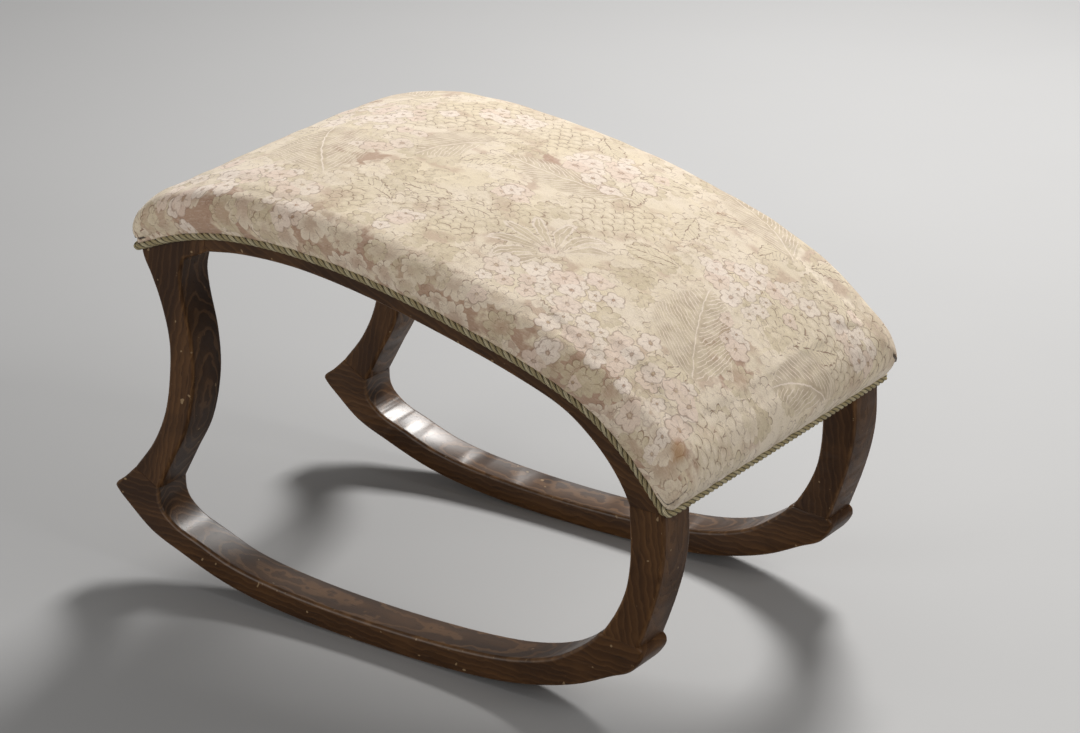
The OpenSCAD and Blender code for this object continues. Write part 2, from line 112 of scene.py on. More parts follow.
# Outlines, as shares of the frame's length and the crest's height
OUTLINE = np.array([FRAME_LENGTH, CREST_HEIGHT], float)
HEEL_SHARE = (0, 0.2238)
TOE_SHARE = (0.9654, 0.19)
STAND_SHARE = 0.5024
TRIM_SHARES = (
    (0.0742, 0.9049, 1.175),
    (0.1532, 0.9569, 1.11),
    (0.2387, 0.9897, 1.06),
    (0.3323, 0.998, 1.015),
    (0.4268, 0.9897, 0.97),
    (0.5203, 0.9686, 0.965),
    (0.6138, 0.9377, 0.98),
    (0.7084, 0.8966, 0.985),
    (0.7969, 0.8514, 0.98),
    (0.8763, 0.794, 0.975),
    (0.9386, 0.7154, 1.035),
    (1.0034, 0.5957, 1.24),
)
TALL_LEG_SHARES = (
    (0.0428, 0.2926, 1.089, -29),
    (0.08, 0.3749, 0.893, -29),
    (0.106, 0.4694, 0.971, -21),
    (0.1186, 0.5809, 1.011, -5),
    (0.1201, 0.6723, 0.943, 7),
    (0.1072, 0.7666, 0.964, 14),
    (0.0918, 0.8323, 1.186, 6),
    (0.0763, 0.8891, 1.6, -4),
    (0.0753, 0.9377, 1.768, -18),
    (0.0865, 0.9694, 1.786, -27),
    (0.1333, 1.006, 1.5, -49),
)
LOW_LEG_SHARES = (
    (0.9596, 0.2249, 1.115, 174),
    (0.9705, 0.2754, 0.942, 166),
    (0.9829, 0.3383, 0.888, 166),
    (0.9939, 0.4097, 0.942, 174),
    (0.9997, 0.4814, 1.009, 180),
    (0.9988, 0.5837, 1.042, 180),
)
RAIL_SHARES = (
    (0.201, 0.9334, 1.106, 98),
    (0.2647, 0.9486, 1.106, 90),
    (0.3671, 0.9511, 1, 86),
    (0.5034, 0.9226, 1, 80),
    (0.6387, 0.8743, 1, 76),
    (0.7462, 0.8274, 1, 71),
    (0.8297, 0.7777, 1, 62),
    (0.8754, 0.7251, 1, 48),
    (0.9078, 0.6711, 1.088, 30),
    (0.9292, 0.6206, 1.206, 19),
)
SPUR_SHARES = (
    ((0.0189, 0.2537), (0.0887, 0.2266)),
    ((0.0009, 0.228), (0.0904, 0.2094)),
    ((0.0043, 0.2149), (0.0947, 0.1937)),
    ((0.0256, 0.1826), (0.1049, 0.1757)),
    ((0.0682, 0.1263), (0.1254, 0.1543)),
)
TOE_SHARES = (
    ((0.9462, 0.1557), (0.8788, 0.208)),
    ((0.965, 0.198), (0.8874, 0.2237)),
    ((0.9654, 0.2137), (0.8908, 0.2309)),
)
ROCKER_SHARES = (
    (0.128, 1.15, 44),
    (0.2133, 1.014, 67),
    (0.3242, 1.036, 76),
    (0.4949, 1.023, 90),
    (0.6741, 1.059, 103),
    (0.7679, 1.095, 114),
    (0.8532, 1.332, 138),
    (0.913, 1.695, 152),
)

# Curve steps between two named sections
MEMBER_STEPS = 6
SPAN_STEPS = 3
EDGE_SEGMENTS = 4


# ---- Curves, in millimetres ----


def knot_gap(a, b):
    """Root of the chord between two knots, each a point or a pair of points."""
    chord = np.atleast_2d(b - a)
    return math.sqrt(np.linalg.norm(chord, axis=1).sum())


def knot_slopes(knots):
    """The curve's slope at each knot."""
    gaps = [knot_gap(a, b) for a, b in zip(knots[:-1], knots[1:])]
    slopes = [(knots[1] - knots[0]) / gaps[0]]
    for i in range(1, len(knots) - 1):
        before, after = gaps[i - 1], gaps[i]
        back = (knots[i] - knots[i - 1]) * after / before
        ahead = (knots[i + 1] - knots[i]) * before / after
        slopes.append((back + ahead) / (before + after))
    slopes.append((knots[-1] - knots[-2]) / gaps[-1])
    return gaps, slopes


def curve_point(knots, place):
    """The point of the smooth curve at a place from 0 to the number of its last knot."""
    gaps, slopes = knot_slopes(knots)
    i = min(int(place), len(knots) - 2)
    t = place - i
    rest = 1 - t
    middle = knots[i] + (knots[i + 1] - knots[i]) * t * t * (3 - 2 * t)
    return middle + gaps[i] * t * rest * (slopes[i] * rest - slopes[i + 1] * t)


def smooth(knots, steps):
    """Points of the smooth curve, with that many steps from each knot to the next."""
    knots = np.asarray(knots, float)
    places = np.arange((len(knots) - 1) * steps + 1) / steps
    return np.array([curve_point(knots, place) for place in places])


def slant(angle):
    """A direction in the side view."""
    return np.array([math.cos(math.radians(angle)), math.sin(math.radians(angle))])


def scaled(share):
    """A point of the side view from its shares."""
    return np.array(share[:2]) * OUTLINE


def path_length(points):
    """Length along a row of points."""
    return float(np.linalg.norm(np.diff(points, axis=0), axis=1).sum())


# ---- Sections of the side frame: pairs of an outer and an inner point ----


def rolling_height(x):
    """Height of the rolling edge over the floor."""
    stand = STAND_SHARE * FRAME_LENGTH
    d = x - stand
    tip = scaled(HEEL_SHARE if d < 0 else TOE_SHARE)
    reach = tip[0] - stand
    return d * d / (2 * ROLL_RADIUS) + (tip[1] - reach**2 / (2 * ROLL_RADIUS)) * (d / reach) ** 4


def outer_section(row, width):
    """A section from its outer point, width share and slant."""
    p = scaled(row)
    return np.array([p, p + slant(row[3]) * row[2] * width])


def inner_section(row, width):
    """A section from its inner point, width share and slant."""
    p = scaled(row)
    return np.array([p + slant(row[3]) * row[2] * width, p])


def rocker_section(row):
    """A section of the rocker from its place, depth share and slant."""
    x = row[0] * FRAME_LENGTH
    p = np.array([x, rolling_height(x)])
    return np.array([p, p + slant(row[2]) * row[1] * ROCKER_DEPTH])


RAIL_KNOTS = [inner_section(row, RAIL_DEPTH) for row in RAIL_SHARES]
TALL_LEG_KNOTS = [outer_section(row, TALL_LEG_WIDTH) for row in TALL_LEG_SHARES] + RAIL_KNOTS[:1]
LOW_LEG_KNOTS = [outer_section(row, LOW_LEG_WIDTH) for row in LOW_LEG_SHARES]
SPUR_KNOTS = [np.array([scaled(a), scaled(b)]) for a, b in SPUR_SHARES]
TOE_KNOTS = [np.array([scaled(a), scaled(b)]) for a, b in TOE_SHARES]
ROCKER_KNOTS = (
    TALL_LEG_KNOTS[:1]
    + SPUR_KNOTS
    + [rocker_section(row) for row in ROCKER_SHARES]
    + TOE_KNOTS
    + LOW_LEG_KNOTS[:1]
)
MEMBERS = {
    "rocker": ROCKER_KNOTS,
    "tall_leg": TALL_LEG_KNOTS,
    "low_leg": LOW_LEG_KNOTS,
    "seat_rail": RAIL_KNOTS + LOW_LEG_KNOTS[-1:],
}
MIDDLE_X = smooth(ROCKER_KNOTS, SPAN_STEPS)[:, 0, 0].min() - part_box("front_rocker")[0].x / MM

# The deck: the top edge of the seat frame between its two end rails
HEAD_ROWS = 7
END_ROWS = 2
SEAT_FRAME = np.concatenate(
    [
        smooth(TALL_LEG_KNOTS, SPAN_STEPS)[HEAD_ROWS * SPAN_STEPS : -1],
        smooth(MEMBERS["seat_rail"], SPAN_STEPS),
    ]
)
DECK_LINE = SEAT_FRAME[END_ROWS * SPAN_STEPS : len(SEAT_FRAME) - END_ROWS * SPAN_STEPS + 1, 0]
DECK_LENGTH = path_length(DECK_LINE)
DECK_PLACES = [path_length(DECK_LINE[: i + 1]) for i in range(len(DECK_LINE))]
SLOPE_SHARE = 0.009
HALF_INSIDE = FRAME_DEPTH / 2 - BOARD

# The seat: a slab bent along the line of the trim
TRIM_KNOTS = np.array([(x * FRAME_LENGTH, z * CREST_HEIGHT, pad) for x, z, pad in TRIM_SHARES])
SEAT_LENGTH = path_length(smooth(TRIM_KNOTS, SPAN_STEPS))
HEM_CORNER = 6
TOP_CORNER = 20
HEM_HEIGHT = CORD_D / 2 + FIT
HEM_SINK = 1


def seat_points(places):
    """Points of the bent slab, in metres, from rows of place along, place across and height."""
    made = []
    for along, across, height in places:
        share = min(max(along / SEAT_LENGTH, 0), 1)
        past = along - share * SEAT_LENGTH
        lean = LOW_END_LEAN * share * share
        x, z, pad = curve_point(TRIM_KNOTS, share * (len(TRIM_KNOTS) - 1))
        p = np.array([x, z]) + past * slant(-lean) + height * pad * slant(90 - lean)
        made.append(((p[0] - MIDDLE_X) * MM, across * MM, p[1] * MM))
    return np.array(made)


# ---- Tools ----


def sheet_mesh(name, points, faces):
    """A mesh object from points and faces, with its place in its mesh."""
    mesh = bpy.data.meshes.new(name)
    mesh.from_pydata([tuple(p) for p in points], [], faces)
    mesh.validate()
    piece = bpy.data.objects.new(name, mesh)
    bpy.context.scene.collection.objects.link(piece)
    return piece


def only(piece):
    """Selects one object, and makes it the active one."""
    bpy.ops.object.select_all(action="DESELECT")
    piece.select_set(True)
    bpy.context.view_layer.objects.active = piece


def modify(piece, kind, **settings):
    """Adds a modifier with its settings, and applies it."""
    only(piece)
    modifier = piece.modifiers.new(kind.lower(), kind)
    for key, value in settings.items():
        setattr(modifier, key, value)
    bpy.ops.object.modifier_apply(modifier=modifier.name)


def select_edges(piece, chosen):
    """Selects, in edit mode, the edges that pass a test."""
    shape = bmesh.from_edit_mesh(piece.data)
    bpy.ops.mesh.select_mode(type="EDGE")
    bpy.ops.mesh.select_all(action="DESELECT")
    for edge in shape.edges:
        edge.select_set(chosen(edge))
    bmesh.update_edit_mesh(piece.data)


def vector_attribute(piece, name, values):
    """Writes three numbers for each point of a mesh."""
    layer = piece.data.attributes.new(name, "FLOAT_VECTOR", "POINT")
    layer.data.foreach_set("vector", np.asarray(values, np.float32).ravel())


def points_of(piece):
    """A mesh's points as an array."""
    flat = np.zeros(len(piece.data.vertices) * 3)
    piece.data.vertices.foreach_get("co", flat)
    return flat.reshape(-1, 3)


def finish_piece(piece, material, slot, *nodes):
    """Gives a piece its material, its place on the body, and the nodes it stands for. The slot is not used."""
    piece.data.materials.clear()
    piece.data.materials.append(material)
    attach(piece, "root")
    if nodes:
        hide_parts(*nodes)


# ---- Materials ----


class Value:
    """A socket of a material: arithmetic on it adds the nodes."""

    def __init__(self, graph, socket):
        self.graph = graph
        self.socket = socket

    def other(self, name):
        """Another output of the same node."""
        return Value(self.graph, self.socket.node.outputs[name])

    def math(self, operation, *values):
        """A Math node on these values."""
        return self.graph.node("ShaderNodeMath", values, operation=operation)

    def __add__(self, other):
        return self.math("ADD", self, other)

    __radd__ = __add__

    def __sub__(self, other):
        return self.math("SUBTRACT", self, other)

    def __rsub__(self, other):
        return self.math("SUBTRACT", other, self)

    def __mul__(self, other):
        return self.math("MULTIPLY", self, other)

    __rmul__ = __mul__

    def __truediv__(self, other):
        return self.math("DIVIDE", self, other)

    def __rtruediv__(self, other):
        return self.math("DIVIDE", other, self)

    def __pow__(self, other):
        return self.math("POWER", self, other)

    def __neg__(self):
        return self.math("MULTIPLY", self, -1)

    def __abs__(self):
        return self.math("ABSOLUTE", self)

    def __gt__(self, other):
        return self.math("GREATER_THAN", self, other)

    def __lt__(self, other):
        return self.math("LESS_THAN", self, other)


class Graph:
    """A material whose nodes are made by expressions."""

    def __init__(self, name):
        self.material = bpy.data.materials.new(name)
        self.material.use_nodes = True
        self.tree = self.material.node_tree
        self.tree.nodes.clear()

    def node(self, kind, values=(), out=0, stops=None, **settings):
        """Adds a node: its settings and stops first, then the values or links of its sockets."""
        made = self.tree.nodes.new(kind)
        for key, value in settings.items():
            setattr(made, key, value)
        if stops:
            ramp = made.color_ramp.elements
            while len(ramp) < len(stops):
                ramp.new(1.0)
            for element, (place, colour) in zip(ramp, stops):
                element.position = place
                element.color = (*colour, 1)
        pairs = values.items() if isinstance(values, dict) else enumerate(values)
        for key, value in pairs:
            if isinstance(value, Value):
                self.tree.links.new(value.socket, made.inputs[key])
            elif value is not None:
                made.inputs[key].default_value = value
        return Value(self, made.outputs[out])

    def attribute(self, name):
        """A vector that the piece's mesh carries."""
        return self.node("ShaderNodeAttribute", out="Vector", attribute_name=name)

    def place(self):
        """The place on the piece, in metres."""
        return self.node("ShaderNodeTexCoord", out="Object")

    def split(self, vector):
        """A vector's three numbers."""
        x = self.node("ShaderNodeSeparateXYZ", [vector])
        return x, x.other("Y"), x.other("Z")

    def join(self, x, y, z=0.0):
        """A vector of three numbers."""
        return self.node("ShaderNodeCombineXYZ", [x, y, z])

    def turned(self, vector, scale=(1, 1, 1), turn=(0, 0, 0), shift=(0, 0, 0)):
        """A vector scaled, turned and shifted."""
        return self.node("ShaderNodeMapping", [vector, shift, turn, scale], vector_type="POINT")

    def noise(self, vector, scale, detail=3.0, roughness=0.5, distortion=0.0):
        """Soft noise, about 0.2 to 0.8."""
        values = {
            "Vector": vector,
            "Scale": scale,
            "Detail": detail,
            "Roughness": roughness,
            "Distortion": distortion,
        }
        return self.node("ShaderNodeTexNoise", values)

    def step(self, value, low, high):
        """0 below low, 1 above high, and a smooth rise between; high may be the lower."""
        if low > high:
            return 1 - self.step(value, high, low)
        return self.node(
            "ShaderNodeMapRange", {0: value, 1: low, 2: high}, interpolation_type="SMOOTHSTEP"
        )

    def least(self, a, b):
        """The lower of two values."""
        return self.node("ShaderNodeMath", [a, b], operation="MINIMUM")

    def most(self, a, b):
        """The higher of two values."""
        return self.node("ShaderNodeMath", [a, b], operation="MAXIMUM")

    def math(self, operation, *values):
        """A Math node on these values."""
        return self.node("ShaderNodeMath", values, operation=operation)

    def vector(self, operation, *values, out=0):
        """A Vector Math node on these values."""
        return self.node("ShaderNodeVectorMath", values, out, operation=operation)

    def line(self, value, middle, width):
        """1 where a value is at its middle, 0 from a width away."""
        return self.step(abs(value - middle), width, width * 0.35)

    def patches(self, place, rows):
        """1 in the middle of the nearest of some round patches, 0 at its rim, less beyond."""
        found = None
        for x, y, radius in rows:
            inside = 1 - self.vector("DISTANCE", place, (x, y, 0), out="Value") / radius
            found = inside if found is None else self.most(found, inside)
        return found

    def cell(self, place, pitch, seed, jitter=0.85):
        """The nearest of scattered middles: distance and angle from it, its place, its chances."""
        moved = self.turned(place, scale=(1 / pitch,) * 3, shift=(seed, 1.7 * seed, 0))
        spot = self.node(
            "ShaderNodeTexVoronoi",
            {"Vector": moved, "Scale": 1.0, "Randomness": jitter},
            out="Position",
            voronoi_dimensions="2D",
        )
        way = self.vector("SUBTRACT", moved, spot)
        x, y, _ = self.split(way)
        away = self.math("SQRT", x * x + y * y) * pitch
        angle = self.math("ARCTAN2", y, x)
        home = self.vector("SUBTRACT", spot, (seed, 1.7 * seed, 0))
        home = self.vector("MULTIPLY", home, (pitch,) * 3)
        return away, angle, home, self.split(spot.other("Color"))

    def blend(self, mask, under, over, mode="MIX"):
        """A colour over another where the mask is 1."""
        values = {0: mask, 6: colour_of(under), 7: colour_of(over)}
        return self.node("ShaderNodeMix", values, out=2, data_type="RGBA", blend_type=mode)

    def ramp(self, value, *stops):
        """A colour by value."""
        return self.node("ShaderNodeValToRGB", [value], stops=stops)

    def bump(self, height, distance, normal=None, strength=1.0):
        """A normal from a height, the distance in metres."""
        values = {"Strength": strength, "Distance": distance, "Height": height, "Normal": normal}
        return self.node("ShaderNodeBump", values)

    def surface(self, **values):
        """The finished surface."""
        shader = self.node("ShaderNodeBsdfPrincipled", values, out="BSDF")
        self.node_out(shader)
        return self.material

    def node_out(self, shader):
        """Links a shader to the material's output."""
        out = self.tree.nodes.new("ShaderNodeOutputMaterial")
        self.tree.links.new(shader.socket, out.inputs["Surface"])


def colour_of(value):
    """A colour for a socket: a Value as it is, or three numbers with alpha added."""
    return value if isinstance(value, Value) else (*tuple(value)[:3], 1.0)


def wood_material(name, grain_angle, look, polish):
    """Dark stained oak, its grain straight along its board, worn at the edges, its inner face polished."""
    g = Graph(name)
    place = g.place()
    board = g.turned(place, turn=(0, math.radians(grain_angle), 0))
    streaks = g.turned(board, scale=(0.07, 1, 1))
    _, across, deep = g.split(board)
    half = BOARD / 2 * MM
    from_middle = abs(abs(across) - (FRAME_DEPTH / 2 * MM - half))
    to_outer, to_inner, _ = g.split(g.attribute("reach"))
    edge = g.most(g.least(to_outer, to_inner), half - from_middle)

    bend = g.noise(g.turned(board, scale=(0.3, 1, 1)), 12.0, 2.0)
    waver = g.noise(place, 55.0, 2.0)
    ring = g.math(
        "FRACT", deep * 150 + from_middle * from_middle * 3400 + bend * 6.0 + waver * 1.6
    )
    late = g.step(ring, 0.3, 0.9) * (1 - g.step(ring, 0.93, 1.0))
    upper = g.step(to_inner, 0.004, 0.001)
    arc = g.line(ring, 0.12, 0.22) * (0.25 + 0.75 * upper)
    pores = g.step(g.noise(streaks, 800.0, 2.0), 0.58, 0.7)
    stain = g.noise(streaks, 45.0, 3.0)
    mottle = g.noise(place, 22.0, 3.0)
    rub = g.noise(place, 90.0, 4.0)
    wear = g.step(edge + rub * 0.007, 0.0068, 0.0022)
    chips = g.step(g.noise(place, 300.0, 2.0), 0.69, 0.75) * g.step(edge, 0.005, 0.0015)
    dings = g.step(g.noise(place, 190.0, 0.0), 0.83, 0.85)

    base = g.blend(g.step(stain, 0.28, 0.72), look.stain_dark, look.stain_light)
    base = g.blend(late * 0.4, base, look.stain_dark)
    base = g.blend(arc * 0.4, base, look.worn)
    base = g.blend(pores * 0.45, base, look.pore)
    base = g.blend(g.step(mottle, 0.5, 0.75) * 0.4, base, look.stain_light)
    base = g.blend(g.step(mottle, 0.48, 0.3) * 0.4, base, look.stain_dark)
    base = g.blend(wear * 0.55, base, look.worn)
    base = g.blend(g.most(chips, dings) * 0.65, base, look.chip)
    height = ring * 0.15 - pores * 0.6 + stain * 0.3 - chips
    return g.surface(
        **{
            "Base Color": base,
            "Roughness": 0.36 + pores * 0.16 + mottle * 0.16,
            "Normal": g.bump(height, 0.00014),
            "Specular IOR Level": 0.18,
            "Coat Weight": upper * polish + 0.05,
            "Coat Roughness": 0.32,
        }
    )


def plain_material(name, colour, rough, scale=(1, 1, 1), grain=400.0):
    """A plain surface with a fine grain, for pieces out of sight."""
    g = Graph(name)
    place = g.turned(g.place(), scale=scale)
    tone = g.noise(place, grain, 4.0)
    dark = tuple(c * 0.7 for c in colour)
    base = g.blend(tone, dark, colour)
    return g.surface(**{"Base Color": base, "Roughness": rough, "Normal": g.bump(tone, 0.0004)})


# ---- Properties ----


def seen(red, green, blue):
    """A colour as it is seen, 0 to 255, as the light that Blender works with."""
    return tuple(((c / 255 + 0.055) / 1.055) ** 2.4 for c in (red, green, blue))


class FootstoolWood(bpy.types.PropertyGroup):
    """Finish and edges of the sawn members."""

    edge_radius: FloatProperty(
        name="Edge radius",
        description="Radius of the rounded long edges",
        default=EDGE_EASE * MM,
        min=0.002,
        max=0.005,
        unit="LENGTH",
    )
    seam: FloatProperty(
        name="Seam",
        description="Bevel of the end edges, seen as a fine dark line at each joint",
        default=0.0003,
        min=0.0,
        max=0.001,
        unit="LENGTH",
    )
    stain_dark: FloatVectorProperty(
        name="Dark stain", subtype="COLOR", size=3, default=(0.036, 0.0138, 0.0036), description="Darkest stained grain"
    )
    stain_light: FloatVectorProperty(
        name="Light stain", subtype="COLOR", size=3, default=(0.105, 0.046, 0.014), description="Lighter stained grain"
    )
    pore: FloatVectorProperty(
        name="Pores", subtype="COLOR", size=3, default=(0.016, 0.007, 0.003), description="Open pores"
    )
    worn: FloatVectorProperty(
        name="Worn edge", subtype="COLOR", size=3, default=(0.25, 0.128, 0.052), description="Wood bared at the edges"
    )
    chip: FloatVectorProperty(
        name="Chip", subtype="COLOR", size=3, default=(0.42, 0.29, 0.16), description="Bare wood in chips and dings"
    )


class FootstoolSeat(bpy.types.PropertyGroup):
    """The cloth seat."""

    cream: FloatVectorProperty(
        name="Cream", subtype="COLOR", size=3, default=seen(246, 231, 209), description="Pale ground of the cloth"
    )
    straw: FloatVectorProperty(
        name="Straw", subtype="COLOR", size=3, default=seen(241, 225, 196), description="Yellower ground"
    )
    straw_shade: FloatVectorProperty(
        name="Soiling", subtype="COLOR", size=3, default=seen(178, 158, 122), description="Yellowed by use"
    )
    sage: FloatVectorProperty(
        name="Sage", subtype="COLOR", size=3, default=seen(219, 203, 172), description="Foliage"
    )
    leaf: FloatVectorProperty(
        name="Leaf", subtype="COLOR", size=3, default=seen(236, 221, 193), description="Large leaves"
    )
    rose: FloatVectorProperty(
        name="Rose brown", subtype="COLOR", size=3, default=seen(184, 149, 126), description="Ground between flowers"
    )
    petal: FloatVectorProperty(
        name="Petal", subtype="COLOR", size=3, default=seen(251, 236, 222), description="Petals of the flowers"
    )
    blush: FloatVectorProperty(
        name="Blush", subtype="COLOR", size=3, default=seen(240, 216, 198), description="Pinker petals"
    )
    line: FloatVectorProperty(
        name="Outline", subtype="COLOR", size=3, default=seen(136, 100, 78), description="Outlines and veins"
    )
    crease_shade: FloatVectorProperty(
        name="Crease", subtype="COLOR", size=3, default=seen(60, 46, 36), description="Shade in a fold"
    )
    stain: FloatVectorProperty(
        name="Rust stain", subtype="COLOR", size=3, default=seen(176, 120, 60), description="A small rust mark"
    )


class FootstoolCord(bpy.types.PropertyGroup):
    """The twisted trim cord."""

    strands: IntProperty(name="Strands", description="Strands in the cord", default=3, min=2, max=5)
    lay: FloatProperty(
        name="Lay", description="Length of one turn of a strand", default=0.0205, min=0.008, max=0.04, unit="LENGTH"
    )
    gold: FloatVectorProperty(
        name="Gold strand", subtype="COLOR", size=3, default=seen(176, 158, 108), description="Strands of olive gold"
    )
    cream: FloatVectorProperty(
        name="Cream strand", subtype="COLOR", size=3, default=seen(226, 214, 178), description="Paler strand"
    )


class FootstoolStage(bpy.types.PropertyGroup):
    """Floor, lamps and camera."""

    floor: FloatVectorProperty(
        name="Floor", subtype="COLOR", size=3, default=(0.425, 0.427, 0.433), description="Colour of the floor"
    )
    lens: FloatProperty(name="Lens", description="Focal length in millimetres", default=118.2, min=20, max=300)


# ---- Side frames ----


def section_facts(pair, middle_y):
    """Middle point in metres, slant and width of a section."""
    way = (pair[1] - pair[0]) * MM
    middle = (pair[0] + pair[1]) / 2 * MM
    place = Vector((middle[0] - MIDDLE_X * MM, middle_y, middle[1]))
    return place, math.atan2(way[1], way[0]), float(np.hypot(*way))


def turn_selected(angle, pivot):
    """Turns what is selected in the side view, from +X towards +Z."""
    bpy.ops.transform.rotate(value=angle, orient_axis="Y", center_override=pivot)


def widen_selected(piece, middle_x, change):
    """Moves the two halves of a level section apart, so that its rounded corners keep their size."""
    shape = bmesh.from_edit_mesh(piece.data)
    for vert in shape.verts:
        if vert.select:
            vert.co.x += change / 2 if vert.co.x > middle_x else -change / 2
    bmesh.update_edit_mesh(piece.data)


def draw_member(name, line, middle_y, wood):
    """Draws a member out from a plane with rounded corners, section by section, to a closed solid."""
    line = np.array(line)
    for last, before in ((0, 1), (-1, -2)):
        way = line[before].mean(axis=0) - line[last].mean(axis=0)
        line[last] += way / np.linalg.norm(way) * wood.seam / MM
    facts = [section_facts(pair, middle_y) for pair in line]
    place, angle, width = facts[0]
    bpy.ops.object.select_all(action="DESELECT")
    bpy.ops.mesh.primitive_plane_add(size=1, location=(0, 0, 0))
    piece = bpy.context.object
    piece.name = name
    piece.data.name = name
    bpy.ops.object.mode_set(mode="EDIT")
    bpy.ops.mesh.select_mode(type="VERT")
    bpy.ops.mesh.select_all(action="SELECT")
    bpy.ops.transform.resize(value=(width, BOARD * MM, 1), center_override=(0, 0, 0))
    bpy.ops.mesh.bevel(
        offset=wood.edge_radius, segments=EDGE_SEGMENTS, affect="VERTICES", clamp_overlap=False
    )
    bpy.ops.mesh.select_mode(type="FACE")
    bpy.ops.mesh.select_all(action="SELECT")
    turn_selected(angle, (0, 0, 0))
    bpy.ops.transform.translate(value=place)
    for place_next, angle_next, width_next in facts[1:]:
        bpy.ops.mesh.extrude_region_move(TRANSFORM_OT_translate={"value": place_next - place})
        turn_selected(-angle, place_next)
        widen_selected(piece, place_next.x, width_next - width)
        turn_selected(angle_next, place_next)
        place, angle, width = place_next, angle_next, width_next
    bpy.ops.mesh.select_all(action="SELECT")
    bpy.ops.mesh.normals_make_consistent(inside=False)
    shape = bmesh.from_edit_mesh(piece.data)
    bpy.ops.mesh.select_all(action="DESELECT")
    for face in shape.faces:
        face.select_set(len(face.verts) > 4)
    bmesh.update_edit_mesh(piece.data)
    bpy.ops.mesh.inset(thickness=wood.seam, depth=wood.seam)
    bpy.ops.object.mode_set(mode="OBJECT")
    return piece


def reach_values(piece, line):
    """For each point, its distance from the outer and inner edge and its place along, in metres."""
    points = points_of(piece)
    view = np.stack([points[:, 0] / MM + MIDDLE_X, points[:, 2] / MM], axis=1)
    found = []
    for k in (0, 1):
        a, b = line[:-1, k], line[1:, k]
        d = b - a
        t = ((view[:, None] - a) * d).sum(2) / np.maximum((d * d).sum(1), 1e-9)
        near = a + np.clip(t, 0, 1)[..., None] * d
        found.append(np.linalg.norm(view[:, None] - near, axis=2))
    along = np.concatenate([[0], np.cumsum(np.linalg.norm(np.diff(line[:, 0], axis=0), axis=1))])
    place = along[found[0].argmin(axis=1)]
    return np.stack([found[0].min(axis=1), found[1].min(axis=1), place], axis=1) * MM


# The grain's angle in degrees, and the coat weight of the inner face
GRAIN_AND_POLISH = {
    "rocker": (0, 0.6),
    "tall_leg": (78, 0.0),
    "low_leg": (96, 0.0),
    "seat_rail": (-24, 0.0),
}


class FOOTSTOOL_OT_side_frames(bpy.types.Operator):
    """Draws the rockers, legs and seat rails from their sections, and copies them to the back"""

    bl_idname = "footstool.side_frames"
    bl_label = "Side frames"

    def execute(self, context):
        wood = context.scene.footstool_wood
        front_y = -(FRAME_DEPTH - BOARD) / 2 * MM
        for member, knots in MEMBERS.items():
            line = smooth(knots, MEMBER_STEPS)
            angle, polish = GRAIN_AND_POLISH[member]
            material = wood_material(f"stained_oak_{member}", angle, wood, polish)
            front = draw_member(f"{member}_front", line, front_y, wood)
            bpy.ops.object.shade_smooth_by_angle(angle=math.radians(35))
            modify(front, "WEIGHTED_NORMAL", keep_sharp=True)
            vector_attribute(front, "reach", reach_values(front, line))
            back = front.copy()
            back.data = front.data.copy()
            back.name = f"{member}_back"
            back.data.name = back.name
            bpy.context.scene.collection.objects.link(back)
            only(back)
            bpy.ops.object.mode_set(mode="EDIT")
            bpy.ops.mesh.select_all(action="SELECT")
            bpy.ops.transform.mirror(constraint_axis=(False, True, False), center_override=(0, 0, 0))
            bpy.ops.mesh.normals_make_consistent(inside=False)
            bpy.ops.object.mode_set(mode="OBJECT")
            for piece, side in ((front, "front"), (back, "back")):
                finish_piece(piece, material, "stained_wood", f"{side}_{member}")
        return {"FINISHED"}


class FOOTSTOOL_OT_inner_wood(bpy.types.Operator):
    """Finishes the end rails, corner blocks and dowels that the frame already holds"""

    bl_idname = "footstool.inner_wood"
    bl_label = "Inner wood"

    def execute(self, context):
        pale = plain_material("pale_beech", (0.46, 0.31, 0.17), 0.62, scale=(0.08, 1, 1), grain=260.0)
        rail = plain_material("rail_beech", (0.42, 0.28, 0.15), 0.6, scale=(1, 0.06, 1), grain=260.0)
        for node in ("tall_end_rail", "low_end_rail"):
            give(node, rail)
        for node in (
            "tall_corner_blocks",
            "low_corner_blocks",
            "rocker_dowels",
            "seat_rail_dowels",
            "end_rail_dowels",
        ):
            give(node, pale)
        return {"FINISHED"}


def give(node, material):
    """Puts a material on a node of the frame."""
    data = frame["nodes"][node].data
    data.materials.clear()
    data.materials.append(material)


# ---- Webbing and hessian ----

WEB_LIFT = FIT
WEB_INSET = 1.5 * END_RAIL_THICK
LANDING = 1.2 * END_RAIL_THICK
CROSS_PITCH = (DECK_LENGTH - 2 * WEB_INSET) / CROSS_WEBS
CROSS_END = FRAME_DEPTH / 2 - EDGE_EASE - 5
OVER_CROSS = WEB_LIFT + WEB_THICK + FIT
UNDER_CROSS = WEB_LIFT - WEB_THICK - FIT
HESSIAN_LIFT = OVER_CROSS + WEB_THICK + FIT


def cross_middle(k):
    """Place of a cross strip's middle along the deck."""
    return WEB_INSET + (k + 0.5) * CROSS_PITCH


def deck_point(along, rise):
    """A point over the deck, in millimetres of the side view."""

    def at(length):
        return curve_point(DECK_LINE, np.interp(length, DECK_PLACES, np.arange(len(DECK_LINE))))

    step = SLOPE_SHARE * DECK_LENGTH
    way = at(along + step) - at(along - step)
    return at(along) + np.array([-way[1], way[0]]) / np.linalg.norm(way) * rise


